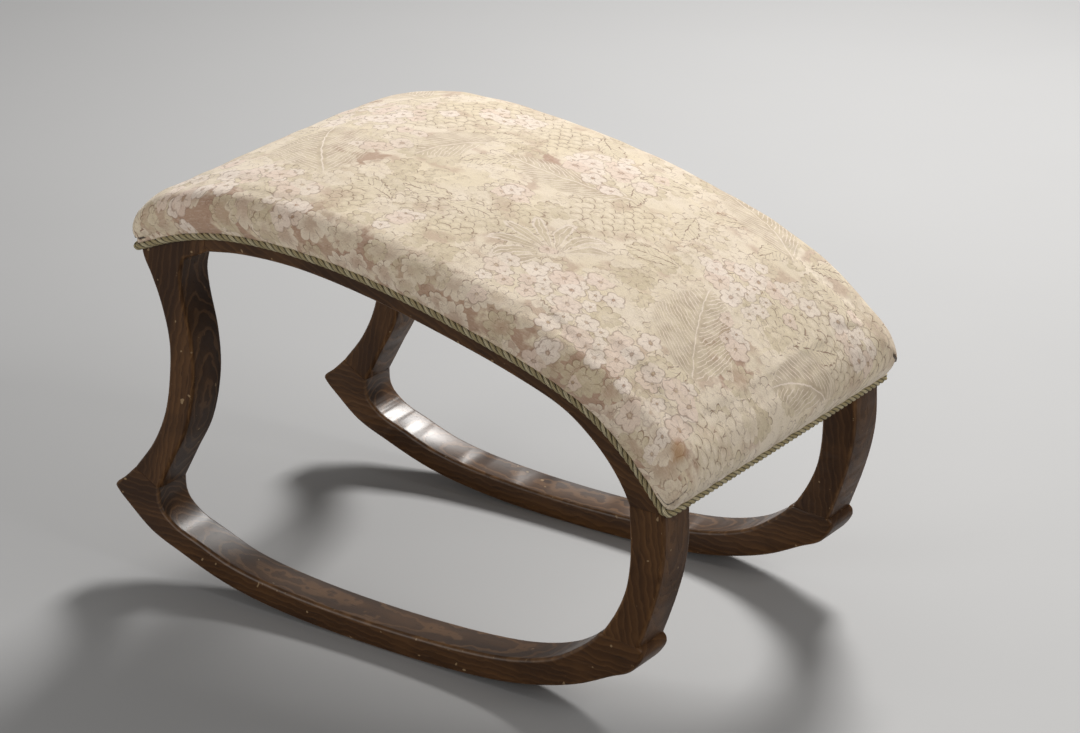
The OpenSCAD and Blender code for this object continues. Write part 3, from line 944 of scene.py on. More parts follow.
def band_sheet(name, line, low_y, high_y, columns, thick):
    """A strip of cloth along a line of the side view, with its cloth coordinates."""
    line = np.asarray(line)
    along = np.concatenate([[0], np.cumsum(np.linalg.norm(np.diff(line, axis=0), axis=1))])
    ys = np.linspace(low_y, high_y, columns + 1)
    points = [((x - MIDDLE_X) * MM, y * MM, z * MM) for x, z in line for y in ys]
    n = columns + 1
    faces = [
        (i * n + j, (i + 1) * n + j, (i + 1) * n + j + 1, i * n + j + 1)
        for i in range(len(line) - 1)
        for j in range(columns)
    ]
    piece = sheet_mesh(name, points, faces)
    vector_attribute(piece, "cloth", [(a * MM, y * MM, 0) for a in along for y in ys])
    modify(piece, "SOLIDIFY", thickness=thick * MM, offset=0)
    only(piece)
    bpy.ops.object.shade_smooth_by_angle(angle=math.radians(40))
    return piece


def weave_material(name, colour, pitch, gap=0.0):
    """Plain woven yarn, one over and one under, at a pitch in metres, with painted shade where the yarn dips."""
    g = Graph(name)
    u, v, _ = g.split(g.attribute("cloth"))
    turn = math.pi / pitch
    warp = abs(g.node("ShaderNodeMath", [u * turn], operation="SINE"))
    weft = abs(g.node("ShaderNodeMath", [v * turn], operation="SINE"))
    over = g.node("ShaderNodeMath", [u * turn], operation="COSINE")
    over = over * g.node("ShaderNodeMath", [v * turn], operation="COSINE")
    yarn = g.step(over, -0.2, 0.2)
    height = warp * yarn + weft * (1 - yarn)
    tone = g.noise(g.place(), 900.0, 3.0) * 0.7 + g.noise(g.place(), 35.0, 2.0) * 0.5
    # Painted shade: the colour falls to 0.28 of itself where the yarn's height drops between the threads, with a random
    # tone mixed in.
    shade = g.step(height, 0.05, 0.8) * (0.4 + tone)
    dark = tuple(c * 0.28 for c in colour)
    base = g.blend(shade, dark, colour)
    return g.surface(
        **{"Base Color": base, "Roughness": 0.9, "Normal": g.bump(height + tone * 0.3, pitch * 0.4)}
    )


class FOOTSTOOL_OT_webbing(bpy.types.Operator):
    """Lays the jute strips across and along the seat frame, woven over and under, and the hessian"""

    bl_idname = "footstool.webbing"
    bl_label = "Webbing and hessian"

    def execute(self, context):
        jute = weave_material("jute_webbing", (0.40, 0.28, 0.15), 0.0022)
        sacking = weave_material("hessian_cloth", (0.44, 0.33, 0.19), 0.0016)
        rise = WEB_LIFT + WEB_THICK / 2
        for k in range(CROSS_WEBS):
            spots = np.linspace(-0.5, 0.5, 9) * WEB_WIDTH + cross_middle(k)
            line = [deck_point(spot, rise) for spot in spots]
            piece = band_sheet(f"cross_web_{k + 1}", line, -CROSS_END, CROSS_END, 48, WEB_THICK)
            finish_piece(piece, jute, "jute_webbing", "cross_webbing")
        long_pitch = 2 * HALF_INSIDE / LONG_WEBS
        for k in range(LONG_WEBS):
            knots = [(0, OVER_CROSS), (LANDING, OVER_CROSS)]
            for c in range(CROSS_WEBS):
                level = OVER_CROSS if c % 2 == 0 else UNDER_CROSS
                knots += [(cross_middle(c) + s * WEB_WIDTH, level) for s in np.linspace(-0.5, 0.5, 7)]
            knots += [(DECK_LENGTH - LANDING, OVER_CROSS), (DECK_LENGTH, OVER_CROSS)]
            line = [deck_point(a, r + WEB_THICK / 2) for a, r in knots]
            middle = (k - (LONG_WEBS - 1) / 2) * long_pitch
            low, high = middle - WEB_WIDTH / 2, middle + WEB_WIDTH / 2
            piece = band_sheet(f"long_web_{k + 1}", line, low, high, 8, WEB_THICK)
            finish_piece(piece, jute, "jute_webbing", "long_webbing")
        rise = HESSIAN_LIFT + HESSIAN_THICK / 2
        line = [deck_point(a, rise) for a in np.linspace(0, DECK_LENGTH, 90)]
        piece = band_sheet("hessian_sheet", line, -CROSS_END, CROSS_END, 50, HESSIAN_THICK)
        finish_piece(piece, sacking, "hessian_cloth", "hessian")
        return {"FINISHED"}


# ---- Stuffing ----


class FOOTSTOOL_OT_stuffing(bpy.types.Operator):
    """Makes the stuffing from the frame's own solid, remeshed and smoothed"""

    bl_idname = "footstool.stuffing"
    bl_label = "Stuffing"

    def execute(self, context):
        piece = frame["nodes"]["stuffing"].copy()
        piece.data = piece.data.copy()
        for key in list(piece.keys()):
            del piece[key]
        piece.name = "fibre_pad"
        piece.data.name = piece.name
        piece.parent = None
        bpy.context.scene.collection.objects.link(piece)
        only(piece)
        bpy.ops.object.mode_set(mode="EDIT")
        bpy.ops.mesh.select_all(action="SELECT")
        bpy.ops.mesh.remove_doubles(threshold=0.00002)
        bpy.ops.mesh.normals_make_consistent(inside=False)
        bpy.ops.object.mode_set(mode="OBJECT")
        modify(piece, "REMESH", mode="VOXEL", voxel_size=0.005)
        modify(piece, "CORRECTIVE_SMOOTH", iterations=4, use_only_smooth=True)
        modify(piece, "DISPLACE", strength=-0.003, mid_level=0.0)
        only(piece)
        bpy.ops.object.shade_smooth()
        fibre = plain_material("packed_fibre", (0.30, 0.22, 0.13), 0.95, grain=500.0)
        finish_piece(piece, fibre, "fibre_stuffing", "stuffing")
        return {"FINISHED"}


# ---- Cover ----

CORNER_STEPS = 6
LONG_SIDE_STEPS = 84
SHORT_SIDE_STEPS = 48
FLANK_STEPS = 4
PINNED_ROWS = 2
PRESSURE = 3.0
PRESS_FRAMES = 20
PRESS_START = 0.8
PRESS_CAPS = (0.2, 2.0)
LUMP_PITCH = 48
LUMP_HEIGHT = 1.0
TACK_PITCH = 24
TACK_DEPTH = 0.7
ROUND_ROWS = 9


def stations(low, high, count):
    """Places along one side of the seat, close together at its corners."""
    bends = [math.tan(math.pi / 4 * (1 - k / CORNER_STEPS)) for k in range(CORNER_STEPS)]
    starts = [low + TOP_CORNER * (1 - b) for b in bends]
    inner = np.linspace(low + TOP_CORNER, high - TOP_CORNER, count + 1)
    return np.array(starts + list(inner) + [low + high - s for s in reversed(starts)])


def rounded(p, low, high, radius):
    """A place on a rectangle, moved in to its rounded corner."""
    c = np.clip(p, np.array(low) + radius, np.array(high) - radius)
    d = p - c
    if d[0] == 0 or d[1] == 0:
        return np.array(p)
    return c + radius * d / np.linalg.norm(d)


def rim(outset, radius, sides=(LONG_SIDE_STEPS, SHORT_SIDE_STEPS)):
    """Places once round the seat at an outset from its edge."""
    low = (-outset, -FRAME_DEPTH / 2 - outset)
    high = (SEAT_LENGTH + outset, FRAME_DEPTH / 2 + outset)
    a = stations(low[0], high[0], sides[0])
    b = stations(low[1], high[1], sides[1])
    loop = [(x, low[1]) for x in a[:-1]] + [(high[0], y) for y in b[:-1]]
    loop += [(x, high[1]) for x in a[:0:-1]] + [(low[0], y) for y in b[:0:-1]]
    return np.array([rounded(np.array(p), low, high, radius) for p in loop])


def cover_profile():
    """Rows of the cover from hem to top edge, each an outset and a height."""
    flank = PAD_HEIGHT - PAD_ROUND
    foot = CORD_D / 2 + FIT
    rows = [
        (foot, HEM_HEIGHT - HEM_SINK),
        (foot + 0.72 * (BELLY - foot), HEM_HEIGHT + 0.45 * (flank - HEM_HEIGHT)),
        (BELLY, flank),
    ]
    for k in range(1, ROUND_ROWS):
        a = math.pi / 2 * k / (ROUND_ROWS - 1)
        rows.append((BELLY - PAD_ROUND + PAD_ROUND * math.cos(a), flank + PAD_ROUND * math.sin(a)))
    fine = smooth(rows[:4], FLANK_STEPS)[: 2 * FLANK_STEPS]
    return np.concatenate([fine, rows[2:]])


def cover_places():
    """Seat places, cloth coordinates and faces of the cover's skin."""
    profile = cover_profile()
    places, cloth, faces = [], [], []
    rings = []
    for outset, height in profile:
        radius = HEM_CORNER + (TOP_CORNER - HEM_CORNER) * min(max(height / PAD_HEIGHT, 0), 1)
        rings.append(rim(outset, radius))
    count = len(rings[0])
    top = rings[-1]
    lengths = np.linalg.norm(np.diff(profile, axis=0), axis=1)
    hang = np.concatenate([np.cumsum(lengths[::-1])[::-1], [0]])
    out = rings[len(profile) // 2] - top
    out /= np.linalg.norm(out, axis=1)[:, None]
    for ring, (_, height), drop in zip(rings, profile, hang):
        start = len(places)
        places += [(x, y, height) for x, y in ring]
        cloth += [tuple(p) for p in top + out * drop]
        if ring is not top:
            faces += [
                (start + j, start + (j + 1) % count, start + count + (j + 1) % count, start + count + j)
                for j in range(count)
            ]
    top_start = len(places) - count
    outset, height = profile[-1]
    low = np.array([-outset, -FRAME_DEPTH / 2 - outset])
    high = np.array([SEAT_LENGTH + outset, FRAME_DEPTH / 2 + outset])
    a = stations(low[0], high[0], LONG_SIDE_STEPS)
    b = stations(low[1], high[1], SHORT_SIDE_STEPS)
    nu, nv = len(a) - 1, len(b) - 1
    index = {}
    for i in range(nu + 1):
        for j in range(nv + 1):
            if j == 0:
                index[i, j] = top_start + i
            elif i == nu:
                index[i, j] = top_start + nu + j
            elif j == nv:
                index[i, j] = top_start + 2 * nu + nv - i
            elif i == 0:
                index[i, j] = top_start + 2 * (nu + nv) - j
            else:
                inset = min(a[i] - low[0], high[0] - a[i], b[j] - low[1], high[1] - b[j])
                p = rounded(
                    np.array([a[i], b[j]]), low + inset, high - inset, max(TOP_CORNER - inset, 0)
                )
                rise = crown_shape(p, outset)
                index[i, j] = len(places)
                places.append((p[0], p[1], height + CROWN * rise))
                cloth.append(tuple(p))
    faces += [
        (index[i, j], index[i + 1, j], index[i + 1, j + 1], index[i, j + 1])
        for i in range(nu)
        for j in range(nv)
    ]
    return places, cloth, faces, count


def crown_shape(p, outset):
    """Share of the crown's rise at a place on the seat."""
    a = 2 * p[0] / SEAT_LENGTH - 1
    b = 2 * p[1] / (FRAME_DEPTH + 2 * outset)
    return (1 - a**4) * (1 - b * b)


# The tapestry's motifs: places and radii in millimetres of the cloth, in one repeat of the pattern
REPEAT = 380
REPEAT_START = 218
FLOWER_PATCHES = (
    (492, 55, 44),
    (460, 30, 20),
    (478, -140, 30),
    (520, -132, 30),
    (548, -160, 22),
    (527, -24, 15),
    (546, -14, 13),
    (400, -108, 40),
    (350, -135, 26),
    (436, -172, 26),
    (310, 92, 36),
    (250, -120, 22),
    (290, -20, 16),
    (572, 120, 26),
)
ROSE_PATCHES = (
    (540, -52, 30),
    (512, -34, 22),
    (570, -172, 34),
    (450, -184, 40),
    (400, -192, 36),
    (495, -182, 36),
    (246, -184, 34),
    (300, -188, 28),
    (350, -196, 34),
    (420, 110, 26),
    (262, 60, 22),
)
SCALE_PATCHES = (
    (560, 95, 56),
    (525, 60, 36),
    (585, 140, 44),
    (310, -60, 40),
    (270, -100, 40),
    (360, 20, 44),
    (240, 110, 40),
    (585, -120, 26),
)
FROND_ROWS = (
    # Middle, angle, half length, half width and bend of each frond
    (497, -50, -57, 62, 47, 0.10),
    (585, 30, 60, 52, 30, -0.25),
    (300, 40, 10, 60, 26, 0.2),
    (430, 150, -20, 60, 30, -0.15),
)
FOUNTAIN = (368, -77)
FOUNTAIN_REACH = 58
STAIN = (570, -159)


def rosette(g, place, pitch, lobes, seed):
    """Clusters of lobed foliage: inside, outline with veins, and paleness towards the rim."""
    away, angle, home, (a, b, c) = g.cell(place, pitch, seed)
    turn = angle + a * 2 * math.pi
    share = g.math("FRACT", turn * (lobes / (2 * math.pi))) - 0.5
    fan = 0.86 + 0.2 * g.math("SINE", angle + c * 2 * math.pi)
    edge = (1 - 1.1 * share * share) * fan * (0.44 + 0.12 * b) * pitch
    inside = g.step(away - edge, 0.5, -0.1)
    rim = g.line(away - edge, 0, 0.75)
    between = away * (0.5 - abs(share)) * (2 * math.pi / lobes)
    vein = g.step(between, 0.65, 0.2) * g.step(away / edge, 0.35, 0.75) * inside
    ring_share = g.math("FRACT", share + 1.0) - 0.5
    ring_edge = (1 - 1.1 * ring_share * ring_share) * 0.56 * edge
    ring = g.line(away - ring_edge, 0, 0.6) * 0.8
    shadow = 0.55 + 0.45 * g.math("SINE", angle - 0.6)
    lines = g.most(g.most(rim * shadow * 1.2, vein * 0.75), ring * shadow)
    return inside, lines, g.step(away / edge, 0.2, 1.0), home, b


def flowers(g, place, pitch, size, seed):
    """Five-petalled flowers: inside, outlines, middle, and where each stands."""
    away, angle, home, (a, b, _) = g.cell(place, pitch, seed, 0.75)
    away = away / (size * (0.85 + 0.3 * b))
    turn = g.math("FRACT", (angle + a * 2 * math.pi) * (5 / (2 * math.pi))) - 0.5
    fold = turn * (2 * math.pi / 5)
    x = away * g.math("COSINE", fold) - 0.56
    y = away * g.math("SINE", fold)
    petal = g.math("SQRT", x * x + y * y)
    inside = g.step(petal, 0.46, 0.42)
    rim = g.line(petal, 0.43, 0.075)
    vein = g.step(abs(y), 0.05, 0.015) * g.step(away, 0.62, 0.5) * g.step(away, 0.16, 0.24)
    middle = g.step(away, 0.2, 0.13)
    return inside, g.most(rim, vein * 0.8), middle, home, b


def leaves(g, place, pitch, seed):
    """Pointed leaves with a midrib and slanted veins: inside, lines and paleness."""
    away, angle, home, (a, b, c) = g.cell(place, pitch, seed, 0.7)
    turn = angle + a * 2 * math.pi
    x = away * g.math("COSINE", turn)
    y = away * g.math("SINE", turn) + x * x * (0.012 * (b - 0.5))
    half = pitch * 0.46
    share = x / half
    bulge = (1 - share * share) * (1 - 0.35 * share) * pitch * 0.2
    teeth = abs(g.math("SINE", x * 0.62)) * 1.6
    gap = abs(y) - (bulge - teeth)
    inside = g.step(gap, 0.3, -0.2)
    slanted = g.math("FRACT", (x + abs(y) * 0.9) / 5.0) - 0.5
    veins = g.step(abs(slanted), 0.13, 0.05) * inside
    midrib = g.step(abs(y), 0.75, 0.3) * inside
    lines = g.most(g.most(g.line(gap, 0, 0.8), midrib), veins * 0.55)
    return inside, lines, abs(y) / (pitch * 0.2), home, c


def scales(g, u, v, pitch):
    """Rows of overlapping rounded scales: their outlines, and paleness towards the rim."""
    row = v / pitch
    level = g.math("FLOOR", row)
    rise = row - level
    shift = g.math("FRACT", level * 0.5)
    x = g.math("FRACT", u / (pitch * 1.25) + shift) - 0.5
    own = g.math("SQRT", x * x * 1.6 + rise * rise * 0.62)
    near = g.math("SQRT", (0.5 - abs(x)) * (0.5 - abs(x)) * 1.6 + (rise + 1) * (rise + 1) * 0.16)
    edge = g.line(own, 0.62, 0.07)
    return edge, g.step(own, 0.1, 0.62), near


def fronds(g, place):
    """Feathered fronds of curved strokes, and a fountain of long blades: strokes and cover."""
    strokes, cover = 0.0, 0.0
    for x0, y0, angle, half, wide, bend in FROND_ROWS:
        local = g.turned(place, shift=(-x0, -y0, 0))
        local = g.turned(local, turn=(0, 0, math.radians(-angle)))
        x, y, _ = g.split(local)
        y = y - x * x * (bend / half)
        share = x / half
        reach = (1 - share * share) * wide
        inside = g.step(abs(y) / g.most(reach, 0.01), 1.0, 0.8) * g.step(abs(share), 1.0, 0.9)
        sweep = x + g.math("POWER", abs(y), 1.35) * 0.42
        stroke = abs(g.math("FRACT", sweep / 6.2) - 0.5)
        stroke = g.step(stroke, 0.14, 0.06) * g.step(abs(y), 2.0, 5.0)
        strokes = g.most(strokes, g.most(stroke, g.step(abs(y), 0.9, 0.3)) * inside)
        cover = g.most(cover, inside)
    local = g.turned(place, shift=(-FOUNTAIN[0], -FOUNTAIN[1], 0))
    x, y, _ = g.split(local)
    away = g.math("SQRT", x * x + y * y) / FOUNTAIN_REACH
    angle = g.math("ARCTAN2", y, -x)
    side = angle - 0.45
    swept = side * (1 - 0.32 * away * away)
    turn = abs(g.math("FRACT", swept * 2.6) - 0.5)
    width = g.math("SINE", g.least(away, 1.0) * math.pi) * 0.34
    blade = g.step(away, 1.0, 0.92) * g.step(abs(side), 1.75, 1.6)
    rim = g.line(turn, width, 0.07) * blade
    strokes = g.most(strokes, g.most(rim, g.step(turn, 0.035, 0.01) * blade))
    cover = g.most(cover, g.step(turn - width, 0.03, -0.03) * blade)
    return strokes, cover


def tapestry_material(look):
    """Woven floral tapestry: foliage, fronds, leaves and flowers on a mottled cream ground."""
    g = Graph("floral_tapestry")
    flat = g.vector("MULTIPLY", g.attribute("cloth"), (1 / MM,) * 3)
    wobble = g.noise(flat, 1 / 11, 2.0).other("Color")
    wobble = g.vector("MULTIPLY", g.vector("SUBTRACT", wobble, (0.5, 0.5, 0.5)), (5.5, 5.5, 0))
    place = g.vector("ADD", flat, wobble)
    u, v, _ = g.split(place)
    u_again = g.math("FRACT", (u - REPEAT_START) / REPEAT) * REPEAT + REPEAT_START
    again = g.join(u_again, v)
    cloud = g.noise(flat, 1 / 75, 3.0)
    fine = g.noise(flat, 1 / 14, 3.0)
    broken = g.step(g.noise(flat, 1 / 6.5, 2.0), 0.38, 0.56)

    base = g.blend(g.step(cloud, 0.4, 0.62), look.cream, look.straw)
    base = g.blend(g.step(fine, 0.5, 0.72) * 0.55, base, look.sage)
    rose = g.patches(again, ROSE_PATCHES) + (fine - 0.5) * 1.6
    rose = g.step(rose, 0.12, 0.5)
    # Rose-brown along both long flanks of the skirt: partly the cloth's rose ground, partly painted shade for the skirt
    # hanging below the rounded top edge.
    flank = g.step(abs(v), 140, 182) * g.step(fine, 0.36, 0.52)
    rose = g.most(rose, flank * 0.85)
    rose = g.most(rose, g.step(g.noise(flat, 1 / 34, 3.0), 0.53, 0.66) * 0.6)
    base = g.blend(rose * 0.9, base, look.rose)

    lines = 0.0

    scale_edge, scale_pale, _ = scales(g, u + cloud * 40, v + fine * 5, 8.5)
    scaly = g.step(g.patches(again, SCALE_PATCHES) + (fine - 0.5), 0.0, 0.18)
    base = g.blend(scaly * scale_pale * 0.5, base, look.sage)
    lines = scale_edge * scaly * broken * 0.85

    for pitch, lobes, seed, weight in ((42, 11, 3.3, 1.0), (27, 7, 8.1, 0.9), (34, 9, 15.7, 1.0)):
        inside, marks, pale, _, chance = rosette(g, place, pitch, lobes, seed)
        shown = inside * (1 - scaly) * g.step(chance, 0.22, 0.26)
        lines = lines * (1 - shown * 0.85)
        tint = g.blend(g.step(chance, 0.45, 0.75), look.sage, look.cream)
        base = g.blend(shown * (0.3 + pale * 0.6) * weight, base, tint)
        lines = g.most(lines, marks * (1 - scaly) * g.step(chance, 0.22, 0.26) * broken * 0.8)

    _, curls, _, _, _ = rosette(g, g.turned(place, scale=(1, 1.4, 1)), 13, 5, 21.3)
    lines = g.most(lines, curls * broken * g.step(fine, 0.35, 0.6) * 0.45)

    inside, marks, pale, _, chance = leaves(g, place, 58, 5.5)
    shown = inside * g.step(chance, 0.42, 0.46)
    lines = lines * (1 - shown)
    base = g.blend(shown * (0.85 - pale * 0.3), base, look.leaf)
    lines = g.most(lines, marks * g.step(chance, 0.42, 0.46) * broken)

    strokes, cover = fronds(g, again)
    lines = lines * (1 - cover * 0.9)
    base = g.blend(cover * 0.5, base, look.sage)
    base = g.blend(strokes * 0.85, base, look.petal)
    lines = g.most(lines, cover * g.step(strokes, 0.75, 0.15) * g.step(fine, 0.3, 0.7) * 0.38)

    for pitch, size, seed in ((16, 8.4, 11.9), (24, 11.8, 2.2)):
        inside, marks, middle, home, chance = flowers(g, place, pitch, size, seed)
        home_u, home_v, _ = g.split(home)
        home_u = g.math("FRACT", (home_u - REPEAT_START) / REPEAT) * REPEAT + REPEAT_START
        grouped = g.patches(g.join(home_u, home_v), FLOWER_PATCHES)
        strewn = grouped + (g.noise(home, 1 / 16, 0.0) - 0.54) * 2.2
        shown = g.step(strewn, 0.02, 0.06) * (0.55 + 0.45 * fine)
        lines = lines * (1 - inside * shown)
        tint = g.blend(g.step(chance, 0.5, 0.7) * 0.8, look.petal, look.blush)
        base = g.blend(inside * shown * 0.95, base, tint)
        base = g.blend(middle * shown * 0.35, base, look.stain)
        lines = g.most(lines, g.most(marks, middle * 0.35) * shown * (0.35 + 0.5 * broken))

    from_fold, along_fold, _ = g.split(g.attribute("fold"))
    fold = g.step(abs(from_fold), 1.2, 0.4) * g.step(along_fold, PLEAT_LENGTH, PLEAT_LENGTH - 6)
    stroke = g.noise(g.turned(flat, scale=(0.25, 1, 1)), 1 / 1.3, 1.0)
    base = g.blend(lines * 0.88, base, look.line)
    yarn = g.noise(flat, 1 / 1.1, 1.0)
    base = g.blend(g.step(yarn, 0.35, 0.75) * 0.16, base, look.line)
    base = g.blend(g.step(stroke, 0.45, 0.8) * 0.2, base, look.petal)
    stain = g.patches(flat, ((*STAIN, 13),)) + (fine - 0.5)
    base = g.blend(g.step(stain, 0.2, 0.75) * 0.6, base, look.stain)
    # Painted shade: a dark line along each corner fold.
    base = g.blend(fold * 0.9, base, look.crease_shade)
    soil = g.step(g.noise(flat, 1 / 120, 2.0), 0.45, 0.7)
    base = g.blend(soil * 0.14, base, look.straw_shade)

    rib = g.math("SINE", g.split(flat)[0] * (2 * math.pi / 0.9))
    pick = g.math("SINE", g.split(flat)[1] * (2 * math.pi / 1.3))
    weave = g.bump(rib * 0.2 + pick * 0.15 + yarn, 0.00018)
    normal = g.bump(fine, 0.0008, weave)
    return g.surface(
        **{
            "Base Color": base,
            "Roughness": 0.82 + 0.12 * yarn,
            "Normal": normal,
            "Sheen Weight": 0.25,
            "Sheen Roughness": 0.5,
            "Specular IOR Level": 0.3,
        }
    )


def press_cover(piece, pinned):
    """Lets the stuffing press the cover out while its hem is held, up to a cap."""
    scene = bpy.context.scene
    way = np.zeros(len(piece.data.vertices) * 3, np.float32)
    piece.data.vertices.foreach_get("normal", way)
    way = way.reshape(-1, 3).astype(float)
    before = points_of(piece)
    before[pinned:] -= way[pinned:] * PRESS_START * MM
    piece.data.vertices.foreach_set("co", before.ravel())
    hem = piece.vertex_groups.new(name="hem")
    hem.add(list(range(pinned)), 1.0, "REPLACE")
    only(piece)
    press = piece.modifiers.new("press", "CLOTH")
    press.settings.quality = 5
    press.settings.vertex_group_mass = "hem"
    press.settings.use_pressure = True
    press.settings.uniform_pressure_force = PRESSURE
    press.settings.effector_weights.gravity = 0
    press.point_cache.frame_start = 1
    press.point_cache.frame_end = PRESS_FRAMES
    for frame in range(1, PRESS_FRAMES + 1):
        scene.frame_set(frame)
    bpy.ops.object.modifier_apply(modifier=press.name)
    scene.frame_set(1)
    out = ((points_of(piece) - before) * way).sum(axis=1)
    out = np.clip(out / MM, *PRESS_CAPS) * MM
    piece.data.vertices.foreach_set("co", (before + way * out[:, None]).ravel())
    piece.vertex_groups.clear()


# The fold at each corner, on its end face: from the corner along the hem, and up, in millimetres
PLEAT = np.array([(2, 5), (4, 13), (8.5, 18.5), (13, 21.5), (15.5, 25), (16, 28)])
PLEAT_RISE = 1.2
PLEAT_REACH = 12
PLEAT_LENGTH = float(np.linalg.norm(np.diff(PLEAT, axis=0), axis=1).sum())


def pleat_facts(seat):
    """Distance of each place from the fold of its corner, positive towards the corner, and its
    place along the fold, in millimetres."""
    from_corner = FRAME_DEPTH / 2 + BELLY - abs(seat[:, 1])
    spots = np.stack([from_corner, seat[:, 2]], axis=1)
    a, b = PLEAT[:-1], PLEAT[1:]
    way = b - a
    length = np.linalg.norm(way, axis=1)
    share = np.clip(((spots[:, None] - a) * way).sum(2) / (length * length), 0, 1)
    gap = spots[:, None] - (a + share[..., None] * way)
    nearest = np.linalg.norm(gap, axis=2).argmin(axis=1)
    row = np.arange(len(spots))
    gap = gap[row, nearest]
    turn = way[nearest, 0] * gap[:, 1] - way[nearest, 1] * gap[:, 0]
    before = np.concatenate([[0], np.cumsum(length)])[nearest]
    place = before + share[row, nearest] * length[nearest]
    gap = np.linalg.norm(gap, axis=1) * np.where(turn > 0, 1, -1)
    on_end = abs(seat[:, 0] - SEAT_LENGTH / 2) > SEAT_LENGTH / 2 - PLEAT_REACH
    return np.where(on_end, gap, 50.0), np.where(on_end, place, PLEAT_LENGTH)


def work_cover(piece):
    """Works soft lumps, the pull of the tacks and the corner folds into the cover."""
    count = len(piece.data.vertices)
    seat = np.zeros(count * 3, np.float32)
    piece.data.attributes["seat"].data.foreach_get("vector", seat)
    seat = seat.reshape(-1, 3).astype(float)
    normals = np.zeros(count * 3, np.float32)
    piece.data.vertices.foreach_get("normal", normals)
    points = points_of(piece)
    gaps, places = pleat_facts(seat)
    lumps = [
        noise.noise(Vector(p) / LUMP_PITCH) + 0.5 * noise.noise(Vector(p) / LUMP_PITCH * 2.3)
        for p in seat
    ]
    round_rim = np.where(abs(seat[:, 1]) > FRAME_DEPTH / 2 - 1, seat[:, 0], seat[:, 1])
    pull = (np.cos(round_rim * (2 * math.pi / TACK_PITCH)) - 1) / 2 * np.exp(-seat[:, 2] / 9)
    over = np.exp(-np.clip(gaps, 0, None) / 7)
    under = -np.exp(-np.clip(-gaps, 0, None) / 3)
    fade = np.clip((PLEAT_LENGTH - places) / 5, 0, 1)
    fold = PLEAT_RISE * np.where(gaps > 0, over, under) * fade
    free = np.clip(seat[:, 2] / 6, 0.15, 1)
    change = (np.array(lumps) * LUMP_HEIGHT + fold) * free + pull * TACK_DEPTH
    points += normals.reshape(-1, 3) * change[:, None] * MM
    piece.data.vertices.foreach_set("co", points.ravel())
    vector_attribute(piece, "fold", np.stack([gaps, places, places * 0], axis=1))


class FOOTSTOOL_OT_cover(bpy.types.Operator):
    """Stretches the tapestry over the seat, from hem to crown"""

    bl_idname = "footstool.cover"
    bl_label = "Seat cover"

    def execute(self, context):
        places, cloth, faces, count = cover_places()
        piece = sheet_mesh("tapestry_seat", seat_points(places), faces)
        vector_attribute(piece, "cloth", [(u * MM, v * MM, 0) for u, v in cloth])
        vector_attribute(piece, "seat", places)
        press_cover(piece, PINNED_ROWS * count)
        modify(piece, "SUBSURF", levels=1, render_levels=1)
        work_cover(piece)
        modify(piece, "SOLIDIFY", thickness=COVER_THICK * MM, offset=-1)
        only(piece)
        bpy.ops.object.shade_smooth()
        finish_piece(
            piece, tapestry_material(context.scene.footstool_seat), "tapestry_cover", "seat_cover"
        )
        return {"FINISHED"}


# ---- Cord ----


